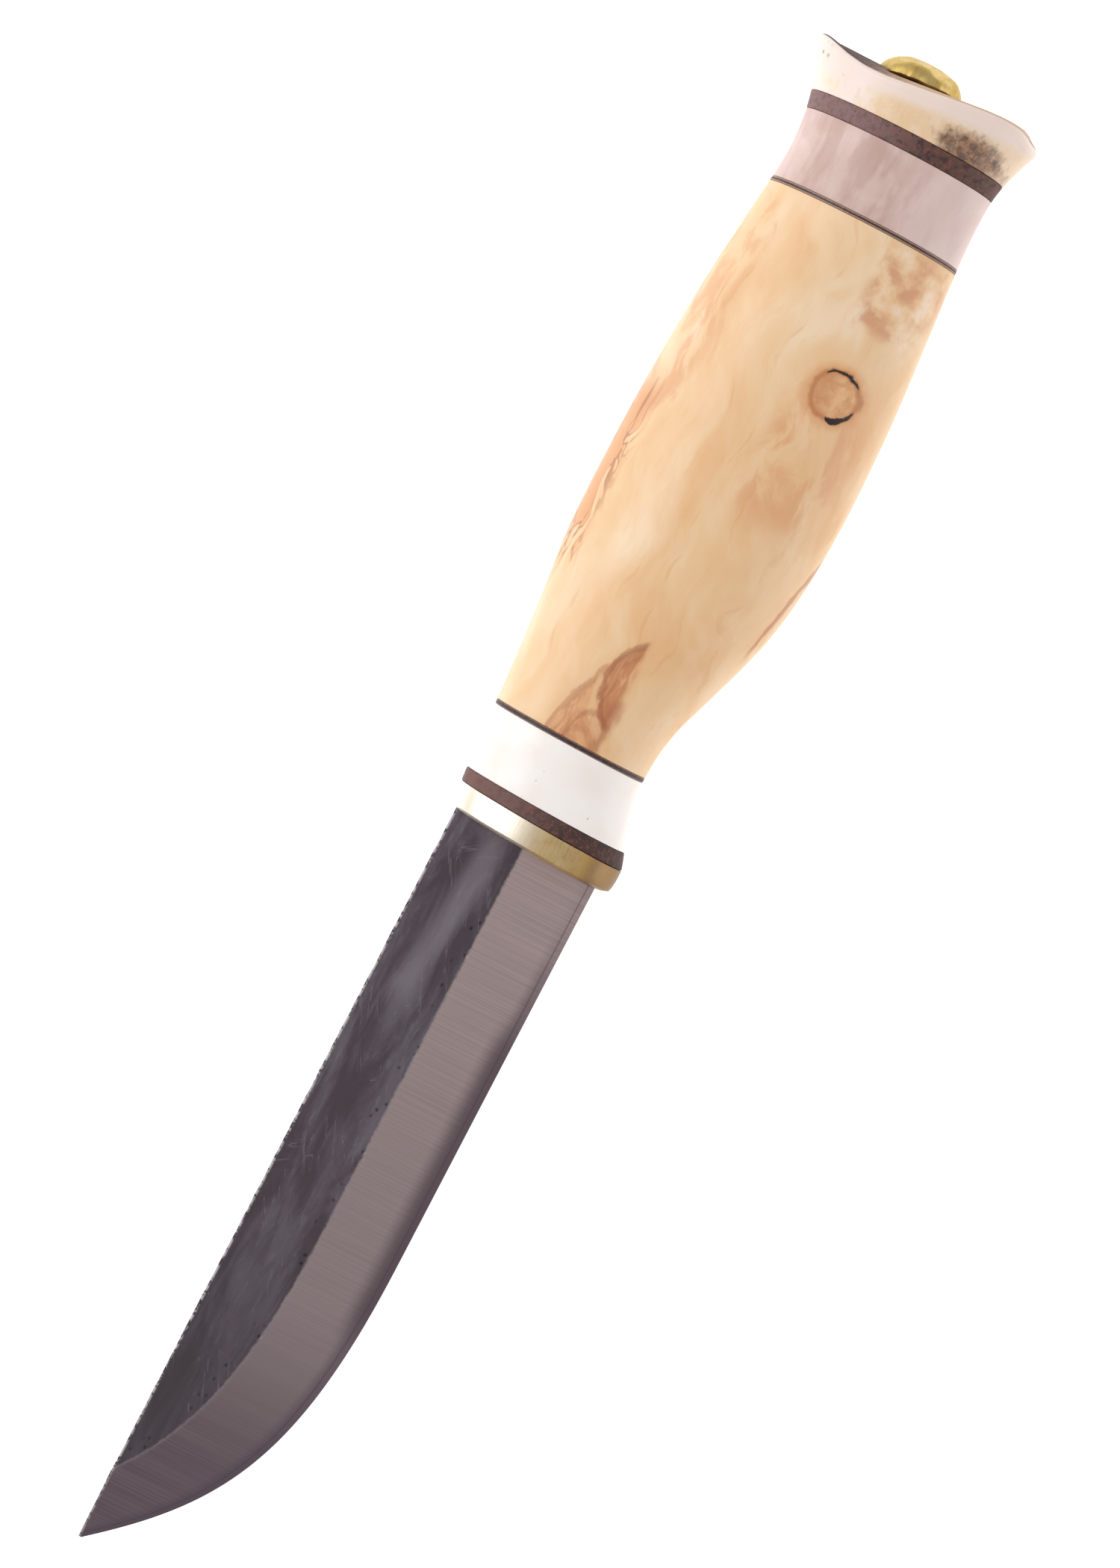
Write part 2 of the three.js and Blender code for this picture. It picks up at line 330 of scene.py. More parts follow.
# %% Push a surface by a rule
def push(piece, direction, rule):
    """Moves each vertex along X, Y, Z or its NORMAL by what the rule says for its place, in metres."""
    shifts = [rule(v.co) for v in piece.data.vertices]
    for sign in (1, -1):
        most = max(max(sign * s for s in shifts), 0)
        if most <= 0:
            continue
        group = piece.vertex_groups.new(name="push")
        for index, shift in enumerate(shifts):
            if sign * shift > 0:
                group.add([index], sign * shift / most, "REPLACE")
        mover = piece.modifiers.new("push", "DISPLACE")
        mover.direction = direction
        mover.mid_level = 0
        mover.strength = sign * most
        mover.vertex_group = group.name
        finish_modifiers(piece)
        piece.vertex_groups.clear()


def finish_modifiers(piece):
    """Applies every modifier on a piece, in order."""
    nothing_selected()
    bpy.context.view_layer.objects.active = piece
    piece.select_set(True)
    for modifier in list(piece.modifiers):
        bpy.ops.object.modifier_apply(modifier=modifier.name)


def rough_up(piece, kind, size, height, where=None):
    """Gives a surface a real unevenness: a noise of this size and height, over all or where a rule says."""
    texture = bpy.data.textures.new(piece.name + "_uneven", kind)
    texture.noise_scale = size
    mover = piece.modifiers.new("uneven", "DISPLACE")
    mover.texture = texture
    mover.texture_coords = "LOCAL"
    mover.direction = "NORMAL"
    mover.mid_level = 0.5
    mover.strength = height
    if where:
        group = piece.vertex_groups.new(name="where")
        for vertex in piece.data.vertices:
            group.add([vertex.index], where(vertex.co), "REPLACE")
        mover.vertex_group = group.name
    finish_modifiers(piece)
    piece.vertex_groups.clear()


def combine(piece, other, operation):
    """Joins another closed shape to a piece (UNION), or cuts it out of the piece (DIFFERENCE)."""
    joint = piece.modifiers.new("joint", "BOOLEAN")
    joint.operation = operation
    joint.solver = "EXACT"
    joint.object = other
    finish_modifiers(piece)


def weld(piece, other):
    """Joins another shape to a piece and uses it up."""
    combine(piece, other, "UNION")
    bpy.data.objects.remove(other)


def smooth_faces(piece, degrees=35):
    """Smooth shading everywhere but over sharp corners."""
    nothing_selected()
    bpy.context.view_layer.objects.active = piece
    piece.select_set(True)
    bpy.ops.object.shade_smooth_by_angle(angle=math.radians(degrees))


def finished(piece, slot, *nodes):
    """Hands a piece over: it rides on the knife and stands for its CAD pieces; slot is not used."""
    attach(piece, "root")
    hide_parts(*nodes)
    faces = len(piece.data.polygons)
    print(piece.name, "has", faces, "faces")
    return piece


# %% [markdown]
# ## Blade
#
# A puukko blade is forged flat, then ground with one wide bevel on each side, straight down to a narrow
# final edge. It starts as a bar. The bar gets many stations along its length and lines across its width,
# and two pushes draw it to shape: one brings the lines to the curve of the edge, the other thins the bar
# from the grind line down.

# %% Lay out the bar
STATIONS = 212
FLAT_LINES = 18
BEVEL_LINES = 14
MICRO_LINES = 2
blade_length = POINT_X - FACE_X
blade_width = EDGE_Y - SPINE_Y
HEEL_X = FACE_X - 2.0 * MM
nothing_selected()
bpy.ops.mesh.primitive_cube_add(
    size=1,
    location=((POINT_X + HEEL_X) / 2, MIDDLE_Y, MIDDLE_Z),
    scale=(POINT_X - HEEL_X, blade_width, 2 * BLADE_HALF),
)
blade = named("forged_blade")
bpy.ops.object.transform_apply(location=True, rotation=True, scale=True)
bpy.ops.object.mode_set(mode="EDIT")
select_edges(lambda a, b: abs(a.y - b.y) < 1e-6 and abs(a.z - b.z) < 1e-6)
bpy.ops.mesh.subdivide(number_cuts=STATIONS)
line_shares = []
for lines, start in ((FLAT_LINES, 0), (BEVEL_LINES, 1), (MICRO_LINES, 2)):
    line_shares += [(start + i / lines) / 3 for i in range(lines)]
for share in line_shares[1:]:
    bpy.ops.mesh.select_all(action="SELECT")
    bpy.ops.mesh.bisect(plane_co=(0, SPINE_Y + share * blade_width, 0), plane_no=(0, 1, 0))
bpy.ops.object.mode_set(mode="OBJECT")
print("bar laid out with", len(blade.data.vertices), "corners")

# %% Read the blade's outline
MICRO_WIDTH = 0.8 * MM
MICRO_THICKNESS = 0.5 * MM
EDGE_THICKNESS = 0.1 * MM
SPINE_LAND = 0.2 * MM
OUTLINE_STEPS = 240
OUTLINE_PASSES = 6
OUTLINE_START = FACE_X + CLEAR_OF_FACE
outline_length = blade_length - CLEAR_OF_FACE
outline_places = [OUTLINE_START + outline_length * i / OUTLINE_STEPS for i in range(OUTLINE_STEPS + 1)]
outline_widths = smoothed([2 * section_of("blade", x)[1] for x in outline_places], OUTLINE_PASSES)


def width_at(x):
    """The blade's width from spine to edge at this place along it."""
    return read_off(outline_widths, (x - OUTLINE_START) / outline_length)


def blade_line(x, share):
    """Distance from the spine, and thickness, of the blade's line at this share across the bar."""
    width = width_at(x)
    grind = max(width - BEVEL_WIDTH, min(SPINE_LAND, width * 0.2))
    micro = width - min(MICRO_WIDTH, width * 0.3)
    spine_thickness = 2 * BLADE_HALF * min(1, width / BEVEL_WIDTH)
    micro_thickness = min(MICRO_THICKNESS, spine_thickness * 0.4)
    drops = (0, grind, micro, width)
    thicknesses = (spine_thickness, spine_thickness, micro_thickness, EDGE_THICKNESS)
    part = min(int(share * 3), 2)
    within = share * 3 - part
    drop = drops[part] + (drops[part + 1] - drops[part]) * within
    return drop, thicknesses[part] + (thicknesses[part + 1] - thicknesses[part]) * within


print("blade's width near the point:", width_at(POINT_X - 10 * MM) / MM)


# %% Draw the bar to the edge's curve and grind it
def share_across(y):
    """How far across the bar a line lies, from 0 at the spine to 1 at the edge."""
    return ramp(y, SPINE_Y, EDGE_Y)


def thinned(co):
    """How far a point of the bar's upper or lower face moves to the ground bevel."""
    side = 1 if co.z > MIDDLE_Z else -1
    return side * (blade_line(co.x, share_across(co.y))[1] / 2 - BLADE_HALF)


push(blade, "Z", thinned)
push(blade, "Y", lambda co: SPINE_Y + blade_line(co.x, share_across(co.y))[0] - co.y)
print("blade ground, its lowest thickness at the edge", EDGE_THICKNESS / MM)


# %% [markdown]
# The flats were never ground, so they keep the slight waves of the hammer, and the spine keeps small chips
# where scale broke off. Both are real relief. The ground bevel stays true, with the finest of cross
# scratches left to its finish.

# %% Leave the hammer's work on the flats and the spine
FLAT_FADE = 1.5 * MM
SPINE_STRIP = 0.7 * MM
POINT_WIDTH = 3 * MM


def from_edge(co):
    """Distance in millimetres from the cutting edge, measured across the blade."""
    return (SPINE_Y + width_at(co.x) - co.y) / MM


def on_the_flats(co):
    """One on the unground flats, fading to nothing at the grind line."""
    return ramp(from_edge(co) * MM, BEVEL_WIDTH, BEVEL_WIDTH + FLAT_FADE)


def on_the_spine(co):
    """One along the spine, fading to nothing below it and towards the point."""
    near_spine = ramp(co.y, SPINE_Y + SPINE_STRIP, SPINE_Y)
    return near_spine * ramp(width_at(co.x), POINT_WIDTH, 2 * POINT_WIDTH)


rough_up(blade, "CLOUDS", 9 * MM, 0.14 * MM, on_the_flats)
rough_up(blade, "CLOUDS", 1.6 * MM, 0.05 * MM, on_the_flats)
rough_up(blade, "CLOUDS", 1.3 * MM, 0.22 * MM, on_the_spine)
smooth_faces(blade, 30)

# %% [markdown]
# The grain of the finish has to follow the edge's curve, so each vertex also stores how far it is from the
# edge. The finish reads it as an attribute.

# %% Store the distance from the edge
distance_layer = blade.data.attributes.new("from_edge", "FLOAT", "POINT")
distance_layer.data.foreach_set("value", [from_edge(v.co) for v in blade.data.vertices])
print("distance from the edge stored for", len(distance_layer.data), "corners")

# %% [markdown]
# ## Tang
#
# The tang is the part of the blade that nobody sees. It tapers through the whole handle and ends in a round
# stud that the nut holds. It is a bar with its far end drawn in, and the same bar, a little larger, is the
# cutter that makes room for it in every piece of the stack.

# %% Forge the tang and its cutter
TANG_CLEARANCE = 0.25 * MM
TANG_FRONT_X = FACE_X - 1 * MM
TANG_CORNER = 0.35 * MM
STUD_CORNER = 0.4 * MM
STUD_OVERLAP = 4 * MM
IN_THE_BOLSTER = FACE_X - 2 * MM
IN_THE_GRIP = FACE_X - 82 * MM
IN_THE_POMMEL = FACE_X - 105 * MM
tang_back_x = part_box("rear_antler_spacer")[1].x + TANG_CLEARANCE
_, tang_front_half, tang_front_thick = section_of("blade", IN_THE_BOLSTER)
tang_back_half = section_of("blade", IN_THE_GRIP)[1]
stud_half = section_of("blade", IN_THE_POMMEL)[1]
stud_back_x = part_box("blade")[0].x


def tang_bar(name, clearance):
    """The tapered flat tang with its round stud, grown on every side by a clearance."""
    nothing_selected()
    bpy.ops.mesh.primitive_cube_add(
        size=1,
        location=((TANG_FRONT_X + tang_back_x) / 2, MIDDLE_Y, MIDDLE_Z),
        scale=(
            TANG_FRONT_X - tang_back_x + clearance,
            2 * (tang_front_half + clearance),
            2 * (tang_front_thick + clearance),
        ),
    )
    bar = named(name)
    bpy.ops.object.transform_apply(location=True, rotation=True, scale=True)
    bpy.ops.object.mode_set(mode="EDIT")
    select_edges(lambda a, b: max(a.x, b.x) < tang_back_x + 1 * MM)
    narrow = (tang_back_half + clearance) / (tang_front_half + clearance)
    bpy.ops.transform.resize(value=(1, narrow, 1), center_override=(tang_back_x, MIDDLE_Y, MIDDLE_Z))
    select_edges(lambda a, b: abs(a.x - b.x) > 1 * MM)
    bpy.ops.mesh.bevel(offset=TANG_CORNER, segments=2, affect="EDGES")
    bpy.ops.object.mode_set(mode="OBJECT")
    nothing_selected()
    stud_front_x = tang_back_x + STUD_OVERLAP
    bpy.ops.mesh.primitive_cylinder_add(
        vertices=40,
        radius=stud_half + clearance,
        depth=stud_front_x - stud_back_x + clearance,
        location=((stud_front_x + stud_back_x - clearance) / 2, MIDDLE_Y, MIDDLE_Z),
        rotation=(0, math.pi / 2, 0),
    )
    stud = named(name + "_stud")
    bpy.ops.object.transform_apply(location=True, rotation=True, scale=True)
    bpy.ops.object.mode_set(mode="EDIT")
    select_edges(lambda a, b: max(a.x, b.x) < stud_back_x - clearance + 0.01 * MM)
    bpy.ops.mesh.bevel(offset=STUD_CORNER, segments=2, affect="EDGES")
    bpy.ops.object.mode_set(mode="OBJECT")
    weld(bar, stud)
    return bar


tang = tang_bar("tang", 0)
tang_room = tang_bar("tang_room", TANG_CLEARANCE)
weld(blade, tang)
smooth_faces(blade, 30)
finished(blade, "steel", "blade")

# %% [markdown]
# ## The lean of the joints
#
# The front joints of the stack aren't quite square to the blade: they lean back a couple of degrees on the
# spine's side, and less and less towards the butt. One rule leans every piece alike, so that neighbours
# still meet.

# %% Say how far each joint leans
BOLSTER_LEAN = 2.2
LEATHER_LEAN = 1.4
LINER_LEAN = 1.0
GRIP_BACK_DEPTH = depth_of(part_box("grip")[0].x)
LEAN_STEPS = (
    (0, BOLSTER_LEAN),
    (3.6, BOLSTER_LEAN),
    (5.7, LEATHER_LEAN),
    (16, LINER_LEAN),
    (GRIP_BACK_DEPTH, 0),
)


def lean_at(depth):
    """Degrees that a joint at this depth leans back on the spine's side."""
    for (d0, l0), (d1, l1) in zip(LEAN_STEPS, LEAN_STEPS[1:]):
        if depth <= d1:
            return l0 + (l1 - l0) * max(depth - d0, 0) / (d1 - d0)
    return 0


def leaned(piece):
    """Leans a handle piece by that rule."""
    push(piece, "X", lambda co: math.tan(math.radians(lean_at(depth_of(co.x)))) * (co.y - MIDDLE_Y))


print("lean in the middle of the grip:", round(lean_at(50), 2), "degrees")

# %% [markdown]
# ## Bolster and the thin discs
#
# The brass bolster, the leather, the bone and the two black liners are short oval blanks threaded on the
# tang. Brass is rounded a little at its front rim and bone keeps crisp ones. Leather is softer than its
# neighbours, so sanding leaves it a little uneven.

# %% Make the bolster
BOLSTER_ROUND = 0.35 * MM
BOLSTER_BACK_ROUND = 0.12 * MM
bolster = oval_blank("brass_bolster", "bolster", 6, BOLSTER_ROUND, BOLSTER_BACK_ROUND)
combine(bolster, tang_room, "DIFFERENCE")
leaned(bolster)
smooth_faces(bolster, 30)
finished(bolster, "brass", "bolster")


# %% Make the discs
DISC_GRAIN = 0.7 * MM


def disc(name, node, slot, rows, rim, uneven=0.0):
    """One oval disc of the stack, cut for the tang, with its rims eased and its edge a little uneven."""
    piece = oval_blank(name, node, rows, rim, rim)
    combine(piece, tang_room, "DIFFERENCE")
    leaned(piece)
    if uneven:
        rough_up(piece, "CLOUDS", DISC_GRAIN, uneven)
    smooth_faces(piece, 30)
    return finished(piece, slot, node)


CRISP = 0.06 * MM
SOFT = 0.16 * MM
THIN = 0.05 * MM
front_leather = disc("front_leather", "front_leather_spacer", "leather", 8, SOFT, 0.07 * MM)
bone_ring = disc("bone_ring", "front_bone_spacer", "bone", 12, CRISP)
front_fibre = disc("front_fibre", "front_liner", "liner", 2, THIN, 0.02 * MM)
rear_fibre = disc("rear_fibre", "rear_liner", "liner", 2, THIN, 0.02 * MM)
rear_antler = disc("rear_antler", "rear_antler_spacer", "antler", 12, CRISP)
rear_leather = disc("rear_leather", "rear_leather_spacer", "leather", 8, SOFT, 0.08 * MM)

# %% [markdown]
# ## Grip
#
# The long block of curly birch is the same kind of blank with many more stations. It is bored right through
# for the resin that beds the tang.

# %% Make the grip
GRIP_ROWS = 96
BEDDING_GAP = 0.15 * MM
BORE_EXTRA = 4 * MM
grip = oval_blank("birch_grip", "grip", GRIP_ROWS, CRISP, CRISP)
bed_low, bed_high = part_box("tang_bedding")
nothing_selected()
bpy.ops.mesh.primitive_cube_add(
    size=1,
    location=(bed_low + bed_high) / 2,
    scale=(
        bed_high.x - bed_low.x + BORE_EXTRA,
        bed_high.y - bed_low.y + 2 * BEDDING_GAP,
        bed_high.z - bed_low.z + 2 * BEDDING_GAP,
    ),
)
bore = named("bore")
bpy.ops.object.transform_apply(location=True, rotation=True, scale=True)
combine(grip, bore, "DIFFERENCE")
bpy.data.objects.remove(bore)
leaned(grip)
smooth_faces(grip, 30)
finished(grip, "birch", "grip")

# %% [markdown]
# ## Pommel
#
# The pommel is a slice from the base of a reindeer's antler. Its butt face was hollowed with a file between
# a sharp horn on the spine's side and a broad one on the edge's side, and cut a little obliquely. The blank
# is drawn straight first, then one push bends its back face to the hollow, each station by its share.

# %% Measure the hollow of the butt
pommel_low, pommel_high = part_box("antler_pommel")
RIM_ROUND = 0.9 * MM
HOLLOW_SAMPLES = 60
HOLLOW_PASSES = 6
HOLLOW_MARGIN = 1.2 * MM
BESIDE_THE_STUD = 3.1 * MM
BEHIND = 20 * MM
hollow_start = pommel_low.y + HOLLOW_MARGIN
hollow_width = pommel_high.y - HOLLOW_MARGIN - hollow_start


def butt_x(y):
    """Where the butt's face is at this place across, found by looking at the CAD piece from behind."""
    start = Vector((pommel_low.x - BEHIND, y, MIDDLE_Z + BESIDE_THE_STUD))
    hit, place, _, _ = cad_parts["antler_pommel"].ray_cast(start, Vector((1, 0, 0)))
    return place.x if hit else pommel_low.x


hollow_places = [hollow_start + hollow_width * i / HOLLOW_SAMPLES for i in range(HOLLOW_SAMPLES + 1)]
hollow = smoothed([butt_x(y) for y in hollow_places], HOLLOW_PASSES)
print("butt's face from", round(depth_of(max(hollow)), 2), "to", round(depth_of(min(hollow)), 2), "mm deep")


def hollow_at(y):
    """The same, read from the samples."""
    return read_off(hollow, (y - hollow_start) / hollow_width)


# %% Draw the pommel and hollow its butt
BUTT_TILT = 6.5
SPINE_TILT_LOSS = 1.2


def tilt_at(y):
    """Degrees that the butt's face was cut obliquely, a little less on the spine's side."""
    return BUTT_TILT - SPINE_TILT_LOSS * ramp(across_of(y), -2, -10)


POMMEL_BACK_X = max(hollow)
WORN_HORN = 1.1 * MM
LONG_HORN = 0.3 * MM
SPINE_FLARE = 0.4 * MM
EDGE_FLARE = 0.5 * MM
pommel = oval_blank("antler_butt", "antler_pommel", 18, CRISP, RIM_ROUND, back_x=POMMEL_BACK_X)
nothing_selected()
bpy.context.view_layer.objects.active = pommel
bpy.ops.object.mode_set(mode="EDIT")
bpy.ops.mesh.select_mode(type="FACE")
bpy.ops.mesh.select_all(action="DESELECT")
shape = bmesh.from_edit_mesh(pommel.data)
for face in shape.faces:
    face.select_set(all(abs(v.co.x - POMMEL_BACK_X) < TINY for v in face.verts))
bmesh.update_edit_mesh(pommel.data)
FACE_RINGS = 14
butt_middle = (POMMEL_BACK_X, (pommel_low.y + pommel_high.y) / 2, MIDDLE_Z)
for i in range(FACE_RINGS):
    ring_share = (FACE_RINGS - i - 0.5) / (FACE_RINGS - i + 0.5)
    bpy.ops.mesh.extrude_region_move(TRANSFORM_OT_translate={"value": (0, 0, 0)})
    bpy.ops.transform.resize(value=(1, ring_share, ring_share), center_override=butt_middle)
bpy.ops.object.mode_set(mode="OBJECT")


def towards_butt(co):
    """How far back in the pommel a point lies, from 0 at its front to 1 at its back."""
    return ramp(co.x, pommel_high.x, POMMEL_BACK_X)


def to_the_hollow(co):
    """How far a point of the straight blank moves so that its back face becomes the hollow."""
    oblique = math.tan(math.radians(tilt_at(co.y))) * (co.z - MIDDLE_Z)
    worn = WORN_HORN * ramp(across_of(co.y), 13.2, 16.7) ** 2
    horn = LONG_HORN * ramp(across_of(co.y), -4, -9)
    return towards_butt(co) * (hollow_at(co.y) - POMMEL_BACK_X + oblique + worn - horn)


def flared(co):
    """How far the two horns spread, most at the very back."""
    to_the_edge = EDGE_FLARE * ramp(across_of(co.y), 9, 14)
    to_the_spine = SPINE_FLARE * ramp(across_of(co.y), -7, -12)
    return towards_butt(co) ** 1.5 * (to_the_edge - to_the_spine)


push(pommel, "Y", flared)
push(pommel, "X", to_the_hollow)
print("butt hollowed, pommel is", [round(d / MM, 1) for d in pommel.dimensions])

# %% Roughen the antler
CALM_FRONT = 3 * MM
rough_up(
    pommel, "CLOUDS", 3 * MM, 0.14 * MM, lambda co: ramp(co.x, pommel_high.x, pommel_high.x - CALM_FRONT)
)
combine(pommel, tang_room, "DIFFERENCE")
smooth_faces(pommel, 40)
finished(pommel, "antler", "antler_pommel")

# %% [markdown]
# ## Nut
#
# A low dome of brass closes the butt. It was hammered down, so it is steep towards the spine, flatter
# towards the edge, faceted all over, and it sits a little askew in the hollow.

# %% Make the nut
nut_low, nut_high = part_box("butt_nut")
NUT_RADIUS = (nut_high.y - nut_low.y) / 2
NUT_TILT = math.radians(4)
NUT_SEAT_DEPTH = 109.3
NUT_OFFSET = -0.5 * MM
nut_base_x = FACE_X - NUT_SEAT_DEPTH * MM
nut_centre_y = MIDDLE_Y + NUT_OFFSET
# Height above the seat in millimetres, radius as a share, and shift towards the edge in millimetres.
NUT_STEPS = (
    (0.25, 1.01, 0.0),
    (0.95, 0.99, -0.05),
    (1.75, 0.90, -0.2),
    (2.5, 0.74, -0.5),
    (3.0, 0.54, -0.85),
    (3.2, 0.32, -1.05),
    (3.25, 0.12, -1.1),
)
nothing_selected()
bpy.ops.mesh.primitive_circle_add(
    vertices=64,
    radius=NUT_RADIUS,
    fill_type="NGON",
    location=(nut_base_x, nut_centre_y, MIDDLE_Z),
    rotation=(0, math.pi / 2, 0),
)
nut = named("hammered_nut")
bpy.ops.object.transform_apply(location=True, rotation=True, scale=True)
bpy.ops.object.mode_set(mode="EDIT")
bpy.ops.mesh.select_all(action="SELECT")
height_so_far, radius_so_far, shift_so_far = 0, 1, 0
for height, radius, shift in NUT_STEPS:
    bpy.ops.mesh.extrude_region_move(
        TRANSFORM_OT_translate={"value": ((height_so_far - height) * MM, (shift - shift_so_far) * MM, 0)}
    )
    ring_centre = (nut_base_x - height * MM, nut_centre_y + shift * MM, MIDDLE_Z)
    size = radius / radius_so_far
    bpy.ops.transform.resize(value=(1, size, size), center_override=ring_centre)
    height_so_far, radius_so_far, shift_so_far = height, radius, shift
bpy.ops.mesh.select_all(action="SELECT")
bpy.ops.mesh.normals_make_consistent(inside=False)
bpy.ops.object.mode_set(mode="OBJECT")
finer = nut.modifiers.new("finer", "SUBSURF")
finer.levels = 2
finer.render_levels = 2
finish_modifiers(nut)
push(nut, "X", lambda co: -math.tan(NUT_TILT) * (co.y - nut_centre_y))
rough_up(nut, "VORONOI", 3.2 * MM, 0.6 * MM)
smooth_faces(nut, 30)
finished(nut, "brass", "butt_nut")
bpy.data.objects.remove(tang_room)

# %% [markdown]
# ## Finishes: the bench of small tools
#
# Each finish is a tree of shader nodes. The patterns are all laid out in the maker's own measures: depth
# behind the bolster, across from the middle line and height above it, in millimetres. A Mapping node turns
# object coordinates into those.

# %% Helpers for shader nodes
def paint(red, green, blue):
    """A colour as a paint chart gives it, from 0 to 255, in the linear values that shaders use."""
    parts = [c / 255 for c in (red, green, blue)]
    return tuple(c / 12.92 if c <= 0.04045 else ((c + 0.055) / 1.055) ** 2.4 for c in parts) + (1,)


def feed(tree, socket, value):
    """Links a socket to another node's output, or sets its own value."""
    if isinstance(value, bpy.types.NodeSocket):
        tree.links.new(value, socket)
    elif value is not None:
        socket.default_value = value


def put(tree, kind, values=(), **settings):
    """Adds a node, sets its properties and feeds its inputs in order."""
    made = tree.nodes.new("ShaderNode" + kind)
    for name, value in settings.items():
        setattr(made, name, value)
    for socket, value in zip(made.inputs, values):
        feed(tree, socket, value)
    return made


def sums(tree, operation, *values):
    """One step of arithmetic."""
    return put(tree, "Math", values, operation=operation).outputs[0]


def plus(tree, first, second):
    """The two added."""
    return sums(tree, "ADD", first, second)


def minus(tree, first, second):
    """The first less the second."""
    return sums(tree, "SUBTRACT", first, second)


def times(tree, first, second):
    """The two multiplied."""
    return sums(tree, "MULTIPLY", first, second)


def off_centre(tree, value, centre, half):
    """How far a measure lies from a centre, in shares of this half-width."""
    return sums(tree, "DIVIDE", minus(tree, value, centre), half)


def reach(tree, first, second):
    """The straight distance that two distances at right angles make."""
    squares = plus(tree, times(tree, first, first), times(tree, second, second))
    return sums(tree, "SQRT", squares)


def fade(tree, value, start, end):
    """Rises softly from 0 at start to 1 at end, or falls where start is the larger."""
    made = put(tree, "MapRange", (value, start, end, 0, 1), interpolation_type="SMOOTHSTEP")
    return made.outputs[0]


def scaled(tree, value, low, high):
    """A value from 0 to 1, laid out between low and high."""
    return put(tree, "MapRange", (value, 0, 1, low, high)).outputs[0]


def between(tree, value, low, high, soft):
    """One between low and high, fading over a soft margin outside them."""
    return times(tree, fade(tree, value, low - soft, low), fade(tree, value, high + soft, high))


def line_at(tree, value, width):
    """A thin line where the value passes zero."""
    return fade(tree, sums(tree, "ABSOLUTE", value), width, width * 0.25)


def both(tree, *masks):
    """The places that all masks share."""
    result = masks[0]
    for mask in masks[1:]:
        result = times(tree, result, mask)
    return result


def tint(tree, amount, under, over):
    """Lays one colour over another by a mask."""
    mix = tree.nodes.new("ShaderNodeMix")
    mix.data_type = "RGBA"
    feed(tree, mix.inputs[0], amount)
    feed(tree, mix.inputs[6], under)
    feed(tree, mix.inputs[7], over)
    return mix.outputs[2]


def glaze(tree, mask, strength, under, over):
    """Lays a thin coat over a colour by a mask, at this strength."""
    return tint(tree, times(tree, mask, strength), under, over)


def stretched(tree, vector, along, across, up):
    """The same coordinates squeezed or drawn out along each axis, so a noise on them gets a grain."""
    return put(tree, "VectorMath", (vector, (along, across, up)), operation="MULTIPLY").outputs[0]


def turned(tree, vector, degrees):
    """The same coordinates turned about the upright axis, so a drawn-out noise runs at a slant."""
    made = put(tree, "VectorRotate", rotation_type="Z_AXIS")
    feed(tree, made.inputs["Vector"], vector)
    made.inputs["Angle"].default_value = math.radians(degrees)
    return made.outputs[0]


def noise(tree, vector, scale=1.0, detail=3.0, roughness=0.5, distortion=0.0):
    """A soft cloudy noise, from 0 to 1."""
    made = tree.nodes.new("ShaderNodeTexNoise")
    feed(tree, made.inputs["Vector"], vector)
    feed(tree, made.inputs["Scale"], scale)
    made.inputs["Detail"].default_value = detail
    made.inputs["Roughness"].default_value = roughness
    made.inputs["Distortion"].default_value = distortion
    return made.outputs["Fac"]


def new_finish(name):
    """An empty material with its Principled shader, and the knife's own coordinates in millimetres."""
    material = bpy.data.materials.new(name)
    material.use_nodes = True
    tree = material.node_tree
    shader = tree.nodes["Principled BSDF"]
    place = tree.nodes.new("ShaderNodeTexCoord").outputs["Object"]
    ruler = tree.nodes.new("ShaderNodeMapping")
    ruler.inputs["Location"].default_value = (FACE_X / MM, -MIDDLE_Y / MM, -MIDDLE_Z / MM)
    ruler.inputs["Scale"].default_value = (-1 / MM, 1 / MM, 1 / MM)
    tree.links.new(place, ruler.inputs["Vector"])
    return material, tree, shader, ruler.outputs[0]


def measures(tree, spot_mm):
    """The depth, the distance across and the height of a spot, as three single values."""
    return put(tree, "SeparateXYZ", (spot_mm,)).outputs


def relief(tree, shader, height, millimetres):
    """Feeds a height through a Bump node to the shader's normal."""
    bump = tree.nodes.new("ShaderNodeBump")
    bump.inputs["Distance"].default_value = millimetres * MM
    feed(tree, bump.inputs["Height"], height)
    feed(tree, shader.inputs["Normal"], bump.outputs[0])


def wear(piece, material):
    """Puts a finish on a piece, in place of any it has."""
    piece.data.materials.clear()
    piece.data.materials.append(material)


# %% [markdown]
# Three effects come back in several finishes, so each is a node group, built once: pores or pits, which are
# small round spots kept only where a sparse noise allows; fibres, a noise drawn out along the knife; and
# scratches, a few long thin marks in one direction.

# %% Build the shared effects
def new_effect(name, inputs, output):
    """An empty node group with named inputs and one named output."""
    group = bpy.data.node_groups.new(name, "ShaderNodeTree")
    for label, kind, value in inputs:
        socket = group.interface.new_socket(name=label, in_out="INPUT", socket_type="NodeSocket" + kind)
        if value is not None:
            socket.default_value = value
    group.interface.new_socket(name=output, in_out="OUTPUT", socket_type="NodeSocketFloat")
    return group, group.nodes.new("NodeGroupInput").outputs, group.nodes.new("NodeGroupOutput").inputs


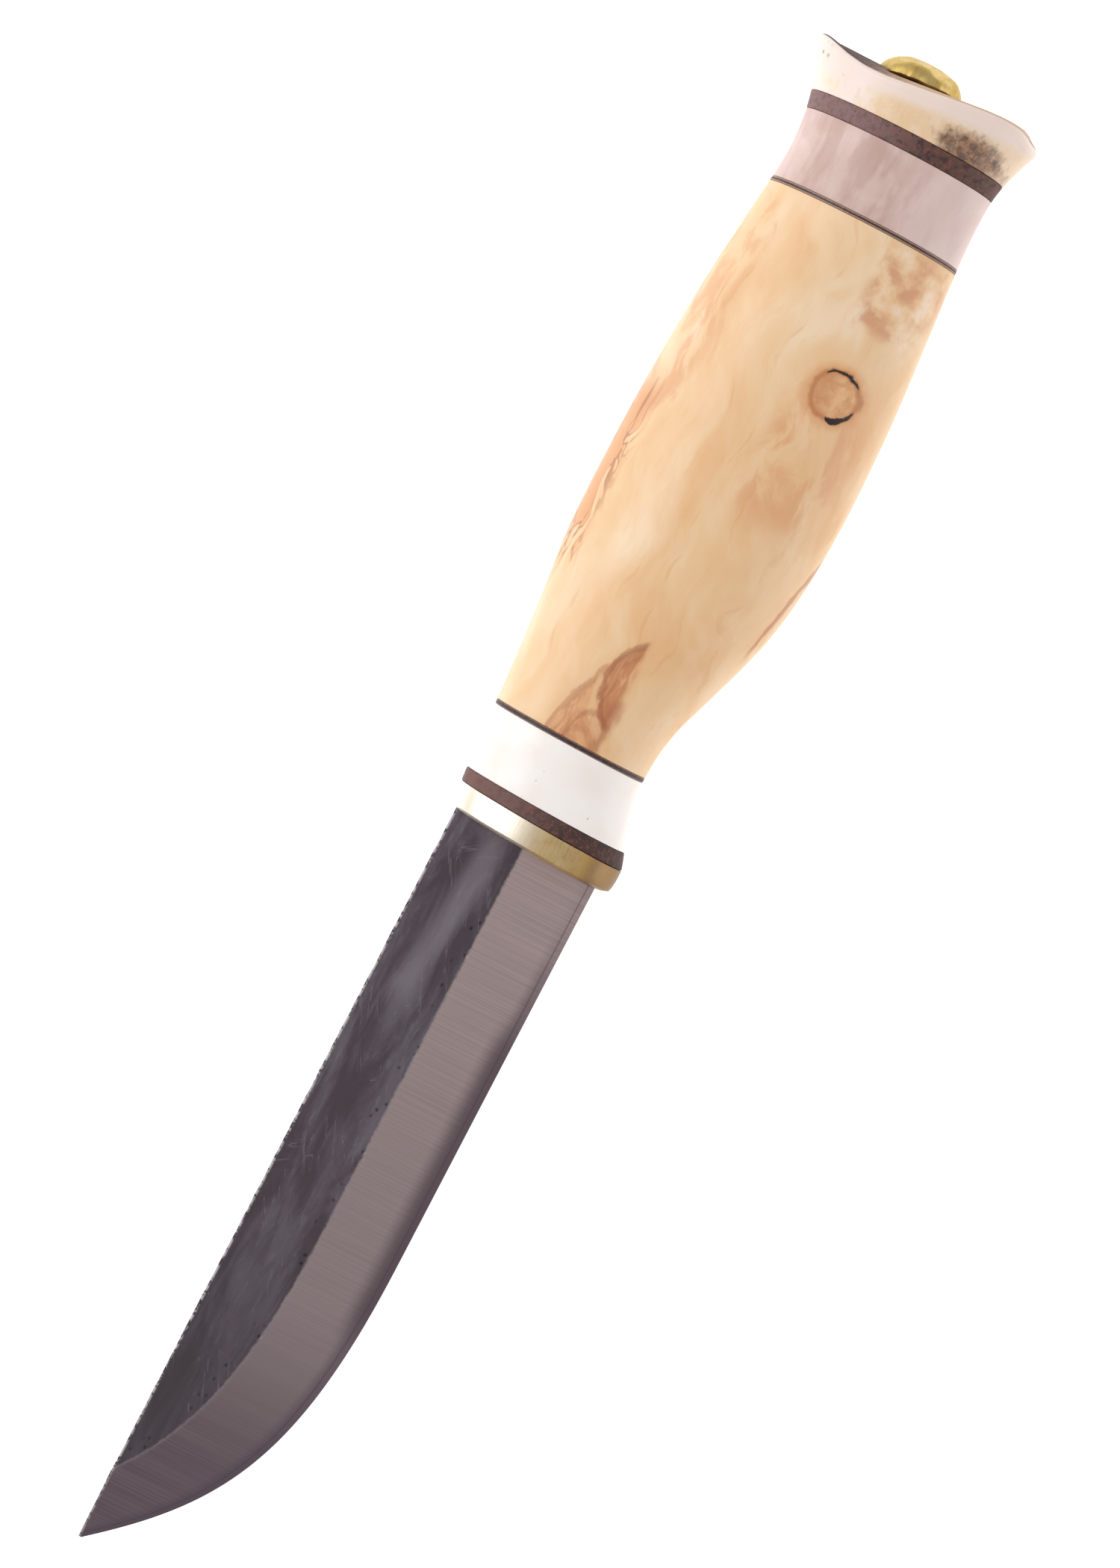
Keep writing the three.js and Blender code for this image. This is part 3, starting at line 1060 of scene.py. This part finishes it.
PLACE = ("Vector", "Vector", None)
DENSITY = ("Per mm", "Float", 1.0)
SHARE = ("Share", "Float", 0.5)
pores, given, out = new_effect("pores", (PLACE, DENSITY, ("Size", "Float", 0.2), SHARE), "Mask")
cells = pores.nodes.new("ShaderNodeTexVoronoi")
feed(pores, cells.inputs["Vector"], given[0])
feed(pores, cells.inputs["Scale"], given[1])
spot = fade(pores, cells.outputs["Distance"], given[2], 0.0)
luck = put(pores, "SeparateColor", (cells.outputs["Color"],)).outputs[0]
kept = sums(pores, "LESS_THAN", luck, given[3])
feed(pores, out[0], times(pores, spot, kept))

fibres, given, out = new_effect("fibres", (PLACE, DENSITY, ("Draw", "Float", 0.08)), "Value")
drawn = put(fibres, "CombineXYZ", (given[2], 1.0, 1.0)).outputs[0]
grain_place = put(fibres, "VectorMath", (given[0], drawn), operation="MULTIPLY").outputs[0]
feed(fibres, out[0], noise(fibres, grain_place, given[1], 5.0, 0.62))

scratches, given, out = new_effect("scratches", (PLACE, DENSITY, SHARE), "Mask")
combed = stretched(scratches, given[0], 0.07, 1.0, 1.0)
streak = noise(scratches, combed, given[1], 1.0, 0.4)
thin = line_at(scratches, minus(scratches, streak, 0.64), 0.02)
patch = stretched(scratches, given[0], 0.1, 0.1, 0.1)
where = sums(scratches, "LESS_THAN", noise(scratches, patch, given[1], 1.0, 0.5), given[2])
feed(scratches, out[0], times(scratches, thin, where))
print("shared effects:", [g.name for g in bpy.data.node_groups])


def effect(tree, group, *values):
    """Places a shared effect in a finish with its own values."""
    made = tree.nodes.new("ShaderNodeGroup")
    made.node_tree = group
    for socket, value in zip(made.inputs, values):
        feed(tree, socket, value)
    return made.outputs[0]


# %% [markdown]
# ## Steel
#
# The flats carry forge scale: a dark purple-grey skin with smoky lighter streaks, small pits along the
# grind line and a few scratches, with a painted highlight band near the heel and painted shade towards the
# point. The bevel is bare steel with fine grinding marks straight across it. The stored distance from the
# edge tells the two apart and darkens the strip by the edge.

# %% Finish the blade
forged_steel, t, shader, spot_mm = new_finish("forged_steel")
depth, across, _ = measures(t, spot_mm)
edge_reader = put(t, "Attribute", attribute_name="from_edge")
edge_distance = edge_reader.outputs["Fac"]
ahead = times(t, depth, -1)
ragged = scaled(t, noise(t, spot_mm, 1.3, 3, 0.6), -0.22, 0.22)
from_grind = plus(t, minus(t, edge_distance, BEVEL_WIDTH / MM), ragged)
is_flat = fade(t, from_grind, -0.12, 0.12)

smoke = noise(t, stretched(t, spot_mm, 0.07, 0.3, 0.3), 1.0, 6, 0.6, 0.5)
fine_smoke = noise(t, stretched(t, spot_mm, 0.35, 1.6, 1.6), 1.0, 6, 0.68, 0.3)
scale_skin = tint(t, fade(t, smoke, 0.36, 0.66), paint(76, 67, 74), paint(106, 97, 106))
wisps = both(t, fade(t, fine_smoke, 0.5, 0.72), fade(t, smoke, 0.4, 0.6))
scale_skin = tint(t, wisps, scale_skin, paint(116, 110, 122))
# Painted shade: the scale darkens towards the point, where less light reaches the flats.
painted_tip_shade = fade(t, ahead, 40, 95)
scale_skin = glaze(t, painted_tip_shade, 0.6, scale_skin, paint(64, 56, 62))
# Painted highlight: a soft lighter band across the flat near the heel, where a slight hollow catches the
# light.
band_middle = minus(t, times(t, ahead, -0.1), 3.4)
off_band = sums(t, "ABSOLUTE", minus(t, across, band_middle))
painted_heel_highlight = both(t, fade(t, off_band, 2.6, 0.3), between(t, ahead, 3, 22, 5))
scale_skin = glaze(t, painted_heel_highlight, 0.5, scale_skin, paint(142, 134, 142))
grind_line = line_at(t, from_grind, 0.3)
pits = effect(t, pores, spot_mm, 0.85, 0.36, 0.6)
pit_strip = both(t, between(t, from_grind, 0.1, 1.2, 0.8), between(t, ahead, 6, 96, 4))
pits = times(t, pits, pit_strip)
scale_skin = tint(t, pits, scale_skin, paint(30, 25, 29))
slanted = turned(t, spot_mm, 24)
marks = effect(t, scratches, slanted, 1.6, 0.45)
cross_slanted = turned(t, spot_mm, -58)
marks = sums(t, "MAXIMUM", marks, effect(t, scratches, cross_slanted, 1.1, 0.4))
scale_skin = glaze(t, marks, 0.3, scale_skin, paint(140, 132, 138))

cross_marks = noise(t, stretched(t, spot_mm, 4.2, 0.03, 0.03), 1.0, 3, 0.6)
broad_marks = noise(t, stretched(t, spot_mm, 0.35, 0.01, 0.01), 1.0, 2, 0.5)
ground = tint(t, fade(t, ahead, 0, 70), paint(206, 186, 185), paint(178, 162, 164))
ground = tint(t, fade(t, ahead, 62, 92), ground, paint(124, 110, 119))
ground = glaze(t, fade(t, cross_marks, 0.42, 0.6), 0.3, ground, paint(150, 134, 138))
ground = glaze(t, fade(t, broad_marks, 0.4, 0.62), 0.04, ground, paint(210, 194, 194))
edge_dark = times(t, fade(t, edge_distance, 2.4, 0.7), scaled(t, fade(t, ahead, 4, 20), 0.1, 0.6))
ground = tint(t, edge_dark, ground, paint(112, 98, 112))
wide_band = both(t, fade(t, edge_distance, 3.6, 1.4), between(t, ahead, 26, 62, 8))
ground = glaze(t, wide_band, 0.6, ground, paint(104, 90, 99))
micro_line = line_at(t, minus(t, edge_distance, 0.85), 0.14)
ground = glaze(t, micro_line, 0.5, ground, paint(104, 88, 96))

skin = tint(t, is_flat, ground, scale_skin)
skin = glaze(t, grind_line, 0.3, skin, paint(170, 158, 160))
spine_distance = plus(t, across, blade_width / 2 / MM)
chip_noise = noise(t, spot_mm, 1.4, 3, 0.6)
chips = both(t, fade(t, spine_distance, 0.42, 0.08), fade(t, chip_noise, 0.42, 0.54))
skin = tint(t, chips, skin, paint(214, 206, 208))
feed(t, shader.inputs["Base Color"], skin)
feed(t, shader.inputs["Metallic"], scaled(t, is_flat, 1.0, 0.55))
rough_ground = scaled(t, cross_marks, 0.24, 0.42)
rough_scale = scaled(t, fine_smoke, 0.5, 0.34)
blade_roughness = put(t, "Mix", (is_flat, None, rough_ground, rough_scale)).outputs[0]
feed(t, shader.inputs["Roughness"], blade_roughness)
blade_height = plus(t, times(t, cross_marks, fade(t, is_flat, 1, 0)), times(t, pits, -2))
blade_height = plus(t, blade_height, times(t, both(t, fine_smoke, is_flat), 0.6))
relief(t, shader, blade_height, 0.02)
wear(blade, forged_steel)
print("forged_steel has", len(t.nodes), "nodes")

# %% [markdown]
# ## Brass
#
# Two finishes share one recipe. The bolster is rubbed with fine paper along the knife, which leaves
# hairlines and a soft tarnish in places. The nut is yellower and less glossy.


# %% Finish the brass
def brass_finish(name, bright, dull, smooth, rubbed, painted_highlight_and_shade=False):
    """Brass with hairlines, rubbed by this much, a little tarnish, and if asked a painted highlight on the
    spine's side and painted shade towards the edge.
    """
    material, t, shader, spot_mm = new_finish(name)
    across = measures(t, spot_mm)[1]
    hairs = noise(t, stretched(t, spot_mm, 0.35, 3.2, 3.2), 1.0, 4, 0.65)
    tarnish = noise(t, spot_mm, 0.35, 4, 0.6, 0.4)
    color = tint(t, fade(t, tarnish, 0.35, 0.7), bright, dull)
    color = glaze(t, fade(t, hairs, 0.45, 0.65), 0.22, color, paint(150, 118, 66))
    specks = effect(t, pores, spot_mm, 1.4, 0.22, 0.16)
    color = glaze(t, specks, 0.5, color, paint(92, 62, 34))
    if painted_highlight_and_shade:
        # Painted highlight on the spine's side of the bolster, and painted shade darkening it towards the
        # edge.
        color = tint(t, fade(t, across, 3.0, -2.5), color, paint(255, 246, 228))
        color = tint(t, fade(t, across, 5.0, 9.0), color, paint(196, 160, 98))
        color = tint(t, fade(t, across, 7.5, 9.5), color, paint(138, 112, 80))
    feed(t, shader.inputs["Base Color"], color)
    shader.inputs["Metallic"].default_value = 1.0
    feed(t, shader.inputs["Roughness"], scaled(t, hairs, smooth, smooth + 0.16))
    relief(t, shader, hairs, rubbed)
    return material


PINK_BRASS = paint(232, 205, 150)
DULL_PINK_BRASS = paint(214, 180, 128)
YELLOW_BRASS = paint(214, 190, 124)
DULL_YELLOW_BRASS = paint(190, 160, 88)
wear(bolster, brass_finish("bolster_brass", PINK_BRASS, DULL_PINK_BRASS, 0.3, 0.012, painted_highlight_and_shade=True))
wear(nut, brass_finish("nut_brass", YELLOW_BRASS, DULL_YELLOW_BRASS, 0.38, 0.006))

# %% [markdown]
# ## Leather, bone and fibre
#
# Seen on edge, leather is dark and dense with rust-red flecks, with a painted sheen that makes it paler on
# the spine's side and painted shade towards the edge. Bone is nearly white, faintly cloudy, with a few tiny
# pores. The liners are black fibre, with a paler line of glue on either side.


# %% Finish the leather
def leather_finish(name, pale, dark):
    """Leather seen on edge, with a painted sheen paler towards the spine and painted shade towards the edge.
    """
    material, t, shader, spot_mm = new_finish(name)
    across = measures(t, spot_mm)[1]
    crumbs = noise(t, spot_mm, 2.2, 5, 0.7)
    clumps = noise(t, spot_mm, 1.0, 4, 0.65)
    # Painted sheen and shade: paler on the spine's side, where the strong light falls, darker towards the
    # edge.
    color = tint(t, fade(t, across, -5, 6), pale, dark)
    color = glaze(t, fade(t, crumbs, 0.5, 0.6), 0.6, color, paint(136, 76, 58))
    # Painted shade: the dark clumps grow stronger towards the edge.
    painted_shade_side = scaled(t, fade(t, across, -4, 5), 0.25, 0.85)
    dark_clumps = times(t, fade(t, clumps, 0.5, 0.4), painted_shade_side)
    color = tint(t, dark_clumps, color, paint(54, 38, 38))
    feed(t, shader.inputs["Base Color"], color)
    feed(t, shader.inputs["Roughness"], scaled(t, crumbs, 0.5, 0.8))
    relief(t, shader, crumbs, 0.12)
    return material


wear(front_leather, leather_finish("dark_leather", paint(112, 84, 80), paint(66, 42, 38)))
wear(rear_leather, leather_finish("brown_leather", paint(134, 106, 106), paint(92, 62, 54)))

# %% Finish the bone
white_bone, t, shader, spot_mm = new_finish("white_bone")
bone_cloud = noise(t, stretched(t, spot_mm, 0.16, 0.16, 0.16), 1.0, 3, 0.5, 0.5)
bone_color = tint(t, fade(t, bone_cloud, 0.3, 0.7), paint(255, 251, 248), paint(252, 243, 237))
bone_pores = effect(t, pores, spot_mm, 0.7, 0.16, 0.2)
bone_color = glaze(t, bone_pores, 0.7, bone_color, paint(170, 110, 84))
feed(t, shader.inputs["Base Color"], bone_color)
feed(t, shader.inputs["Roughness"], scaled(t, bone_cloud, 0.26, 0.4))
bone_grain = effect(t, fibres, spot_mm, 1.6, 0.1)
relief(t, shader, bone_grain, 0.01)
wear(bone_ring, white_bone)

# %% Finish the fibre and the resin
def fibre_finish(name, node, core):
    """Black fibre, with a paler brown glue line beyond this many millimetres from its middle."""
    material, t, shader, spot_mm = new_finish(name)
    depth, across, _ = measures(t, spot_mm)
    low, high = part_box(node)
    middle_depth = depth_of((low.x + high.x) / 2)
    slope = math.tan(math.radians(lean_at(middle_depth)))
    lint = noise(t, spot_mm, 3.0, 4, 0.6)
    from_middle = plus(t, minus(t, depth, middle_depth), times(t, across, slope))
    glue = fade(t, plus(t, sums(t, "ABSOLUTE", from_middle), scaled(t, lint, -0.06, 0.06)), core, core + 0.14)
    color = tint(t, fade(t, lint, 0.35, 0.7), paint(40, 26, 31), paint(72, 52, 54))
    color = glaze(t, glue, 0.85, color, paint(176, 140, 122))
    feed(t, shader.inputs["Base Color"], color)
    feed(t, shader.inputs["Roughness"], scaled(t, lint, 0.4, 0.6))
    relief(t, shader, lint, 0.03)
    return material


wear(front_fibre, fibre_finish("front_black_fibre", "front_liner", 0.16))
wear(rear_fibre, fibre_finish("rear_black_fibre", "rear_liner", 0.06))
set_resin, t, shader, spot_mm = new_finish("set_resin")
swirl = noise(t, spot_mm, 0.4, 3, 0.5, 1.0)
feed(t, shader.inputs["Base Color"], tint(t, swirl, paint(150, 104, 46), paint(188, 146, 82)))
feed(t, shader.inputs["Roughness"], scaled(t, swirl, 0.2, 0.4))
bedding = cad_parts["tang_bedding"]
wear(bedding, set_resin)
print("bone, fibre and resin finished")

# %% [markdown]
# ## Curly birch
#
# Curly birch is pale, with silky clouds that change as the light moves, fine fibres along the grip, and
# brown figure where the tree grew round a wound. Each mark has its own small mask, laid out by depth and
# across: a brown flame behind the front liner, a ring knot near the belly, a swirl on the spine and a few
# red blotches before the rear liner.

# %% Lay the pale ground of the birch
curly_birch, t, shader, spot_mm = new_finish("curly_birch")
depth, across, up = measures(t, spot_mm)
wander = noise(t, spot_mm, 0.09, 2, 0.5)
bend = times(t, minus(t, wander, 0.5), 7.0)
bent = put(t, "CombineXYZ", (depth, plus(t, across, bend), up)).outputs[0]
cloud = noise(t, stretched(t, bent, 0.045, 0.14, 0.14), 1.0, 3, 0.5, 0.5)
silk = noise(t, stretched(t, turned(t, bent, 30), 0.08, 0.3, 0.3), 1.0, 3, 0.5, 0.3)
thread = effect(t, fibres, bent, 2.4, 0.045)
wood = tint(t, fade(t, cloud, 0.26, 0.54), paint(234, 186, 134), paint(240, 203, 158))
wood = tint(t, fade(t, cloud, 0.5, 0.74), wood, paint(246, 220, 188))
wood = glaze(t, fade(t, silk, 0.42, 0.7), 0.22, wood, paint(250, 226, 194))
wood = glaze(t, fade(t, thread, 0.52, 0.78), 0.24, wood, paint(226, 172, 120))
warm_noise = noise(t, stretched(t, bent, 0.11, 0.3, 0.3), 1.0, 4, 0.6, 0.6)
warm_zone = both(t, between(t, depth, 53, 65, 5), between(t, across, 5, 13, 3))
warm_rim = both(t, between(t, depth, 58, 86, 5), fade(t, across, -6.5, -10.5))
warm = both(t, sums(t, "MAXIMUM", warm_zone, warm_rim), fade(t, warm_noise, 0.4, 0.6))
wood = glaze(t, warm, 0.6, wood, paint(224, 160, 114))
rings = sums(t, "SINE", times(t, plus(t, across, bend), 1.35))
ring_line = both(t, fade(t, rings, 0.9, 1.0), fade(t, warm_noise, 0.5, 0.62))
wood = glaze(t, ring_line, 0.3, wood, paint(222, 164, 108))

# %% Paint the flame behind the front liner
FLAME_START = depth_of(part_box("grip")[1].x)
FLAME_LENGTH = 15.5
FLAME_LOW = 2.8
wobble = scaled(t, noise(t, stretched(t, spot_mm, 0.22, 0.5, 0.5), 1.0, 4, 0.6), -1.1, 1.1)
flame_across = plus(t, across, wobble)
flame_share = off_centre(t, depth, FLAME_START, FLAME_LENGTH)
flame_rise = sums(t, "POWER", sums(t, "MAXIMUM", flame_share, 0.0), 1.6)
flame_top = minus(t, times(t, flame_rise, 7.0), 4.3)
above_flame = minus(t, flame_across, flame_top)
below_flame = minus(t, FLAME_LOW, flame_across)
in_reach = fade(t, flame_share, 1.04, 0.9)
flame = both(t, fade(t, above_flame, -0.5, 0.8), fade(t, below_flame, -0.6, 0.7), in_reach)
halo_reach = fade(t, flame_share, 1.25, 0.85)
flame_halo = both(t, fade(t, above_flame, -2.8, 0.4), fade(t, below_flame, -2.0, 0.4), halo_reach)
wood = glaze(t, flame_halo, 0.5, wood, paint(232, 182, 130))
flame_cloud = noise(t, stretched(t, bent, 0.16, 0.5, 0.5), 1.0, 4, 0.6, 1.2)
flame_color = tint(t, fade(t, flame_cloud, 0.36, 0.64), paint(228, 172, 124), paint(196, 128, 86))
wood = glaze(t, flame, 0.85, wood, flame_color)
flame_rim = both(t, line_at(t, above_flame, 0.6), in_reach)
wood = glaze(t, flame_rim, 0.45, wood, paint(172, 104, 66))
tail_across = minus(t, flame_across, 2.6)
flame_tail = both(t, fade(t, sums(t, "ABSOLUTE", tail_across), 1.3, 0.1), between(t, depth, 15, 21.5, 1.5))
wood = glaze(t, flame_tail, 0.6, wood, paint(178, 108, 70))
EYE_DEPTH = 24.4
EYE_ACROSS = 3.1
eye_x = off_centre(t, depth, EYE_DEPTH, 5.9)
eye_y = off_centre(t, flame_across, EYE_ACROSS, 3.4)
eye_reach = reach(t, eye_x, eye_y)
eye_side = fade(t, eye_y, 0.1, -0.35)
eye_line = both(t, line_at(t, minus(t, eye_reach, 1.0), 0.14), eye_side)
eye_pale = both(t, line_at(t, minus(t, eye_reach, 1.2), 0.22), eye_side, flame)
eye_dark = both(t, between(t, eye_reach, 0.72, 0.9, 0.16), eye_side, flame)
wood = glaze(t, eye_pale, 0.6, wood, paint(240, 198, 152))
wood = glaze(t, eye_dark, 0.4, wood, paint(176, 106, 68))
wood = glaze(t, eye_line, 0.6, wood, paint(160, 94, 60))
ARCH_DEPTH = 15.5
ARCH_ACROSS = 0.6
arch_x = off_centre(t, depth, ARCH_DEPTH, 4.2)
arch_y = off_centre(t, flame_across, ARCH_ACROSS, 2.4)
arch_reach = reach(t, arch_x, arch_y)
arch_line = both(t, line_at(t, minus(t, arch_reach, 1.0), 0.16), flame)
wood = glaze(t, arch_line, 0.4, wood, paint(172, 104, 66))

# %% Paint the ring knot
KNOT_DEPTH = 69.1
KNOT_ACROSS = 8.9
KNOT_RADIUS = 3.1
knot_x = minus(t, depth, KNOT_DEPTH)
knot_y = minus(t, across, KNOT_ACROSS)
knot_reach = reach(t, knot_x, knot_y)
knot_wobble = scaled(t, noise(t, spot_mm, 0.55, 3, 0.55), -0.6, 0.6)
to_edge_front = minus(t, times(t, knot_y, 0.61), times(t, knot_x, 0.79))
crack_turn = sums(t, "DIVIDE", to_edge_front, sums(t, "MAXIMUM", knot_reach, 0.1))
rear_turn = sums(t, "DIVIDE", knot_x, sums(t, "MAXIMUM", knot_reach, 0.1))
knot_reach = plus(t, knot_reach, knot_wobble)
crack_heavy = fade(t, crack_turn, 0.72, 0.96)
crack_light = fade(t, rear_turn, 0.62, 0.86)
knot_halo = fade(t, knot_reach, KNOT_RADIUS + 2.0, KNOT_RADIUS - 0.2)
wood = glaze(t, knot_halo, 0.75, wood, paint(218, 148, 92))
knot_heart = fade(t, knot_reach, KNOT_RADIUS + 0.1, KNOT_RADIUS - 1.0)
knot_grain = noise(t, spot_mm, 0.7, 3, 0.55, 0.6)
knot_color = tint(t, fade(t, knot_grain, 0.38, 0.64), paint(236, 190, 142), paint(216, 160, 112))
knot_color = glaze(t, fade(t, knot_y, 0.6, -2.0), 0.6, knot_color, paint(190, 126, 84))
wood = glaze(t, knot_heart, 0.85, wood, knot_color)
ring_gap = sums(t, "ABSOLUTE", minus(t, knot_reach, KNOT_RADIUS))
soft_ring = fade(t, ring_gap, 0.6, 0.1)
wood = glaze(t, soft_ring, 0.55, wood, paint(172, 106, 66))
heavy_taper = scaled(t, fade(t, knot_y, 3.4, -0.2), 0.18, 0.5)
heavy_width = times(t, crack_heavy, heavy_taper)
light_width = times(t, crack_light, 0.13)
crack_width = sums(t, "MAXIMUM", heavy_width, light_width)
crack_edge = minus(t, ring_gap, crack_width)
knot_dark = fade(t, sums(t, "MAXIMUM", crack_heavy, crack_light), 0.1, 0.4)
knot_crack = both(t, fade(t, crack_edge, 0.14, -0.06), knot_dark)
wood = tint(t, knot_crack, wood, paint(38, 24, 22))

# %% Paint the swirl, the blotches and the shade along the belly
swirl_place = stretched(t, bent, 0.09, 0.32, 0.32)
swirl_noise = noise(t, swirl_place, 1.0, 2, 0.5, 1.0)
spine_strip = both(t, fade(t, across, -10.5, -12.6), between(t, depth, 37, 58, 6))
swirl_brown = both(t, spine_strip, fade(t, swirl_noise, 0.36, 0.6))
wood = glaze(t, swirl_brown, 0.8, wood, paint(220, 152, 98))
swirl_line = both(t, line_at(t, minus(t, swirl_noise, 0.52), 0.035), spine_strip)
wood = glaze(t, swirl_line, 0.6, wood, paint(152, 92, 62))
blotch_noise = noise(t, stretched(t, spot_mm, 0.3, 0.28, 0.28), 1.0, 3, 0.55)
blotch_area = both(t, between(t, depth, 79.5, 88.5, 2.5), between(t, across, 7.5, 13.5, 2.5))
blotch_red = both(t, blotch_area, fade(t, blotch_noise, 0.44, 0.66))
wood = glaze(t, blotch_red, 0.68, wood, paint(206, 138, 104))
blotch_pale = both(t, blotch_area, fade(t, blotch_noise, 0.5, 0.3))
wood = glaze(t, blotch_pale, 0.7, wood, paint(250, 230, 210))
belly_curve = plus(t, times(t, depth, 0.2), 6.9)
belly_offset = plus(t, minus(t, across, belly_curve), times(t, wobble, 0.35))
# Painted shade: a thin dark line along the belly, standing in for the shade of a slight crease there.
painted_belly_crease_shade = both(t, line_at(t, belly_offset, 0.3), between(t, depth, 37, 49, 4))
wood = glaze(t, painted_belly_crease_shade, 0.7, wood, paint(182, 112, 76))
feed(t, shader.inputs["Base Color"], wood)
feed(t, shader.inputs["Roughness"], scaled(t, thread, 0.3, 0.46))
birch_height = plus(t, thread, times(t, knot_crack, -6))
relief(t, shader, birch_height, 0.018)
wear(grip, curly_birch)
print("curly_birch has", len(t.nodes), "nodes")

# %% [markdown]
# ## Antler
#
# The spacer is grey-pink antler with streaks along the knife. The pommel is cut nearer the burr: white
# towards the spine, tan in the middle, with a fuzzy dark patch of the spongy core against the leather, a
# painted highlight along its rounded rim, and small open pores by the horn on the spine's side. Its butt
# face is dark brown there and tan towards the edge.

# %% Finish the antler spacer
grey_antler, t, shader, spot_mm = new_finish("grey_antler")
across = measures(t, spot_mm)[1]
streaks = effect(t, fibres, spot_mm, 0.9, 0.14)
broad_streaks = noise(t, stretched(t, spot_mm, 0.12, 0.4, 0.4), 1.0, 3, 0.5)
antler_cloud = noise(t, spot_mm, 0.16, 3, 0.55, 0.5)
antler_color = tint(t, fade(t, antler_cloud, 0.34, 0.68), paint(208, 178, 168), paint(222, 197, 188))
antler_color = glaze(t, fade(t, broad_streaks, 0.48, 0.66), 0.6, antler_color, paint(190, 156, 147))
antler_color = glaze(t, fade(t, streaks, 0.48, 0.7), 0.22, antler_color, paint(178, 144, 136))
antler_pores = effect(t, pores, spot_mm, 1.7, 0.24, 0.3)
antler_color = glaze(t, antler_pores, 0.35, antler_color, paint(150, 112, 104))
antler_color = glaze(t, fade(t, across, -8, -12), 0.3, antler_color, paint(226, 206, 204))
antler_color = glaze(t, fade(t, across, 2, 10), 0.6, antler_color, paint(232, 209, 205))
feed(t, shader.inputs["Base Color"], antler_color)
feed(t, shader.inputs["Roughness"], scaled(t, streaks, 0.3, 0.46))
relief(t, shader, streaks, 0.03)
wear(rear_antler, grey_antler)

# %% Finish the pommel
butt_antler, t, shader, spot_mm = new_finish("butt_antler")
depth, across, _ = measures(t, spot_mm)
POMMEL_FRONT = depth_of(pommel_high.x)
BUTT_DEPTH = 108.3
streaks = effect(t, fibres, spot_mm, 1.0, 0.2)
mottle = noise(t, spot_mm, 0.55, 5, 0.65)
color = tint(t, fade(t, mottle, 0.4, 0.62), paint(244, 228, 220), paint(246, 226, 202))
to_leather = minus(t, depth, POMMEL_FRONT)
tan_ground = fade(t, across, -7, -2)
color = tint(t, tan_ground, color, paint(240, 214, 184))
tan_patch = both(t, between(t, across, -3, 9, 3), fade(t, to_leather, 4.5, 2.0), fade(t, mottle, 0.36, 0.6))
color = glaze(t, tan_patch, 0.6, color, paint(234, 198, 150))
color = glaze(t, fade(t, streaks, 0.5, 0.7), 0.22, color, paint(212, 168, 124))
butt_curve = plus(t, BUTT_DEPTH, times(t, plus(t, across, 9.5), 0.09))
# Painted highlight: a pale band along the butt's rounded rim, where the rounding catches the light.
painted_rim_highlight = fade(t, minus(t, depth, butt_curve), -3.9, -2.2)
color = glaze(t, painted_rim_highlight, 0.85, color, paint(244, 226, 218))
CORE_ACROSS = 9.8
CORE_DEPTH = 0.9
CORE_WIDE = 5.2
CORE_DEEP = 3.0
core_x = off_centre(t, to_leather, CORE_DEPTH, CORE_DEEP)
core_y = off_centre(t, across, CORE_ACROSS, CORE_WIDE)
core_reach = plus(t, times(t, core_x, core_x), times(t, core_y, core_y))
core_noise = noise(t, spot_mm, 0.75, 4, 0.65)
core = fade(t, minus(t, scaled(t, core_noise, 0.3, 2.1), core_reach), -0.1, 1.0)
grit = noise(t, spot_mm, 0.95, 5, 0.7)
core_color = tint(t, fade(t, grit, 0.4, 0.6), paint(156, 114, 86), paint(84, 56, 48))
color = glaze(t, core, 0.92, color, core_color)
horn_pores = effect(t, pores, spot_mm, 0.75, 0.34, 0.75)
horn_area = both(t, between(t, across, -13.0, -9.0, 0.8), between(t, depth, 106.0, 109.2, 0.6))
color = tint(t, both(t, horn_pores, horn_area), color, paint(150, 84, 64))
facing = put(t, "NewGeometry").outputs["Normal"]
backwards = put(t, "SeparateXYZ", (facing,)).outputs[0]
butt_side = fade(t, backwards, -0.55, -0.88)
butt_dark = tint(t, mottle, paint(58, 36, 36), paint(88, 58, 54))
ragged_across = plus(t, across, scaled(t, mottle, -5, 5))
butt_color = tint(t, fade(t, ragged_across, -9, 1), butt_dark, paint(200, 166, 134))
color = tint(t, butt_side, color, butt_color)
feed(t, shader.inputs["Base Color"], color)
pommel_rough = plus(t, scaled(t, mottle, 0.28, 0.5), times(t, butt_side, 0.4))
feed(t, shader.inputs["Roughness"], pommel_rough)
pommel_height = minus(t, times(t, streaks, 0.4), both(t, horn_pores, horn_area))
relief(t, shader, pommel_height, 0.1)
wear(pommel, butt_antler)
print("antler finished")

# %% [markdown]
# ## The sheet's finish
#
# The sheet is white card. It gives off light of its own, as a light table does, so that the shadows stay
# faint.

# %% Finish the sheet
white_card = bpy.data.materials.new("white_card")
white_card.use_nodes = True
card = white_card.node_tree.nodes["Principled BSDF"]
card_place = white_card.node_tree.nodes.new("ShaderNodeTexCoord").outputs["Object"]
card_tooth = noise(white_card.node_tree, card_place, 900.0, 2, 0.5)
card_shade = tint(white_card.node_tree, card_tooth, (0.86, 0.86, 0.86, 1), (0.9, 0.9, 0.9, 1))
feed(white_card.node_tree, card.inputs["Base Color"], card_shade)
card.inputs["Roughness"].default_value = 0.9
card.inputs["Emission Color"].default_value = (1, 1, 1, 1)
card.inputs["Emission Strength"].default_value = 0.7
wear(sheet, white_card)

# %% [markdown]
# ## Measure and finish
#
# The visual model must keep the size of the CAD model, so both boxes are printed.

# %% Print the two boxes
visual_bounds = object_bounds()
boxes = {
    "cad": [list(corner) for corner in cad_bounds],
    "visual": [list(corner) for corner in visual_bounds],
}
for kind, corners in boxes.items():
    print(kind, [[round(v / MM, 2) for v in corner] for corner in corners])
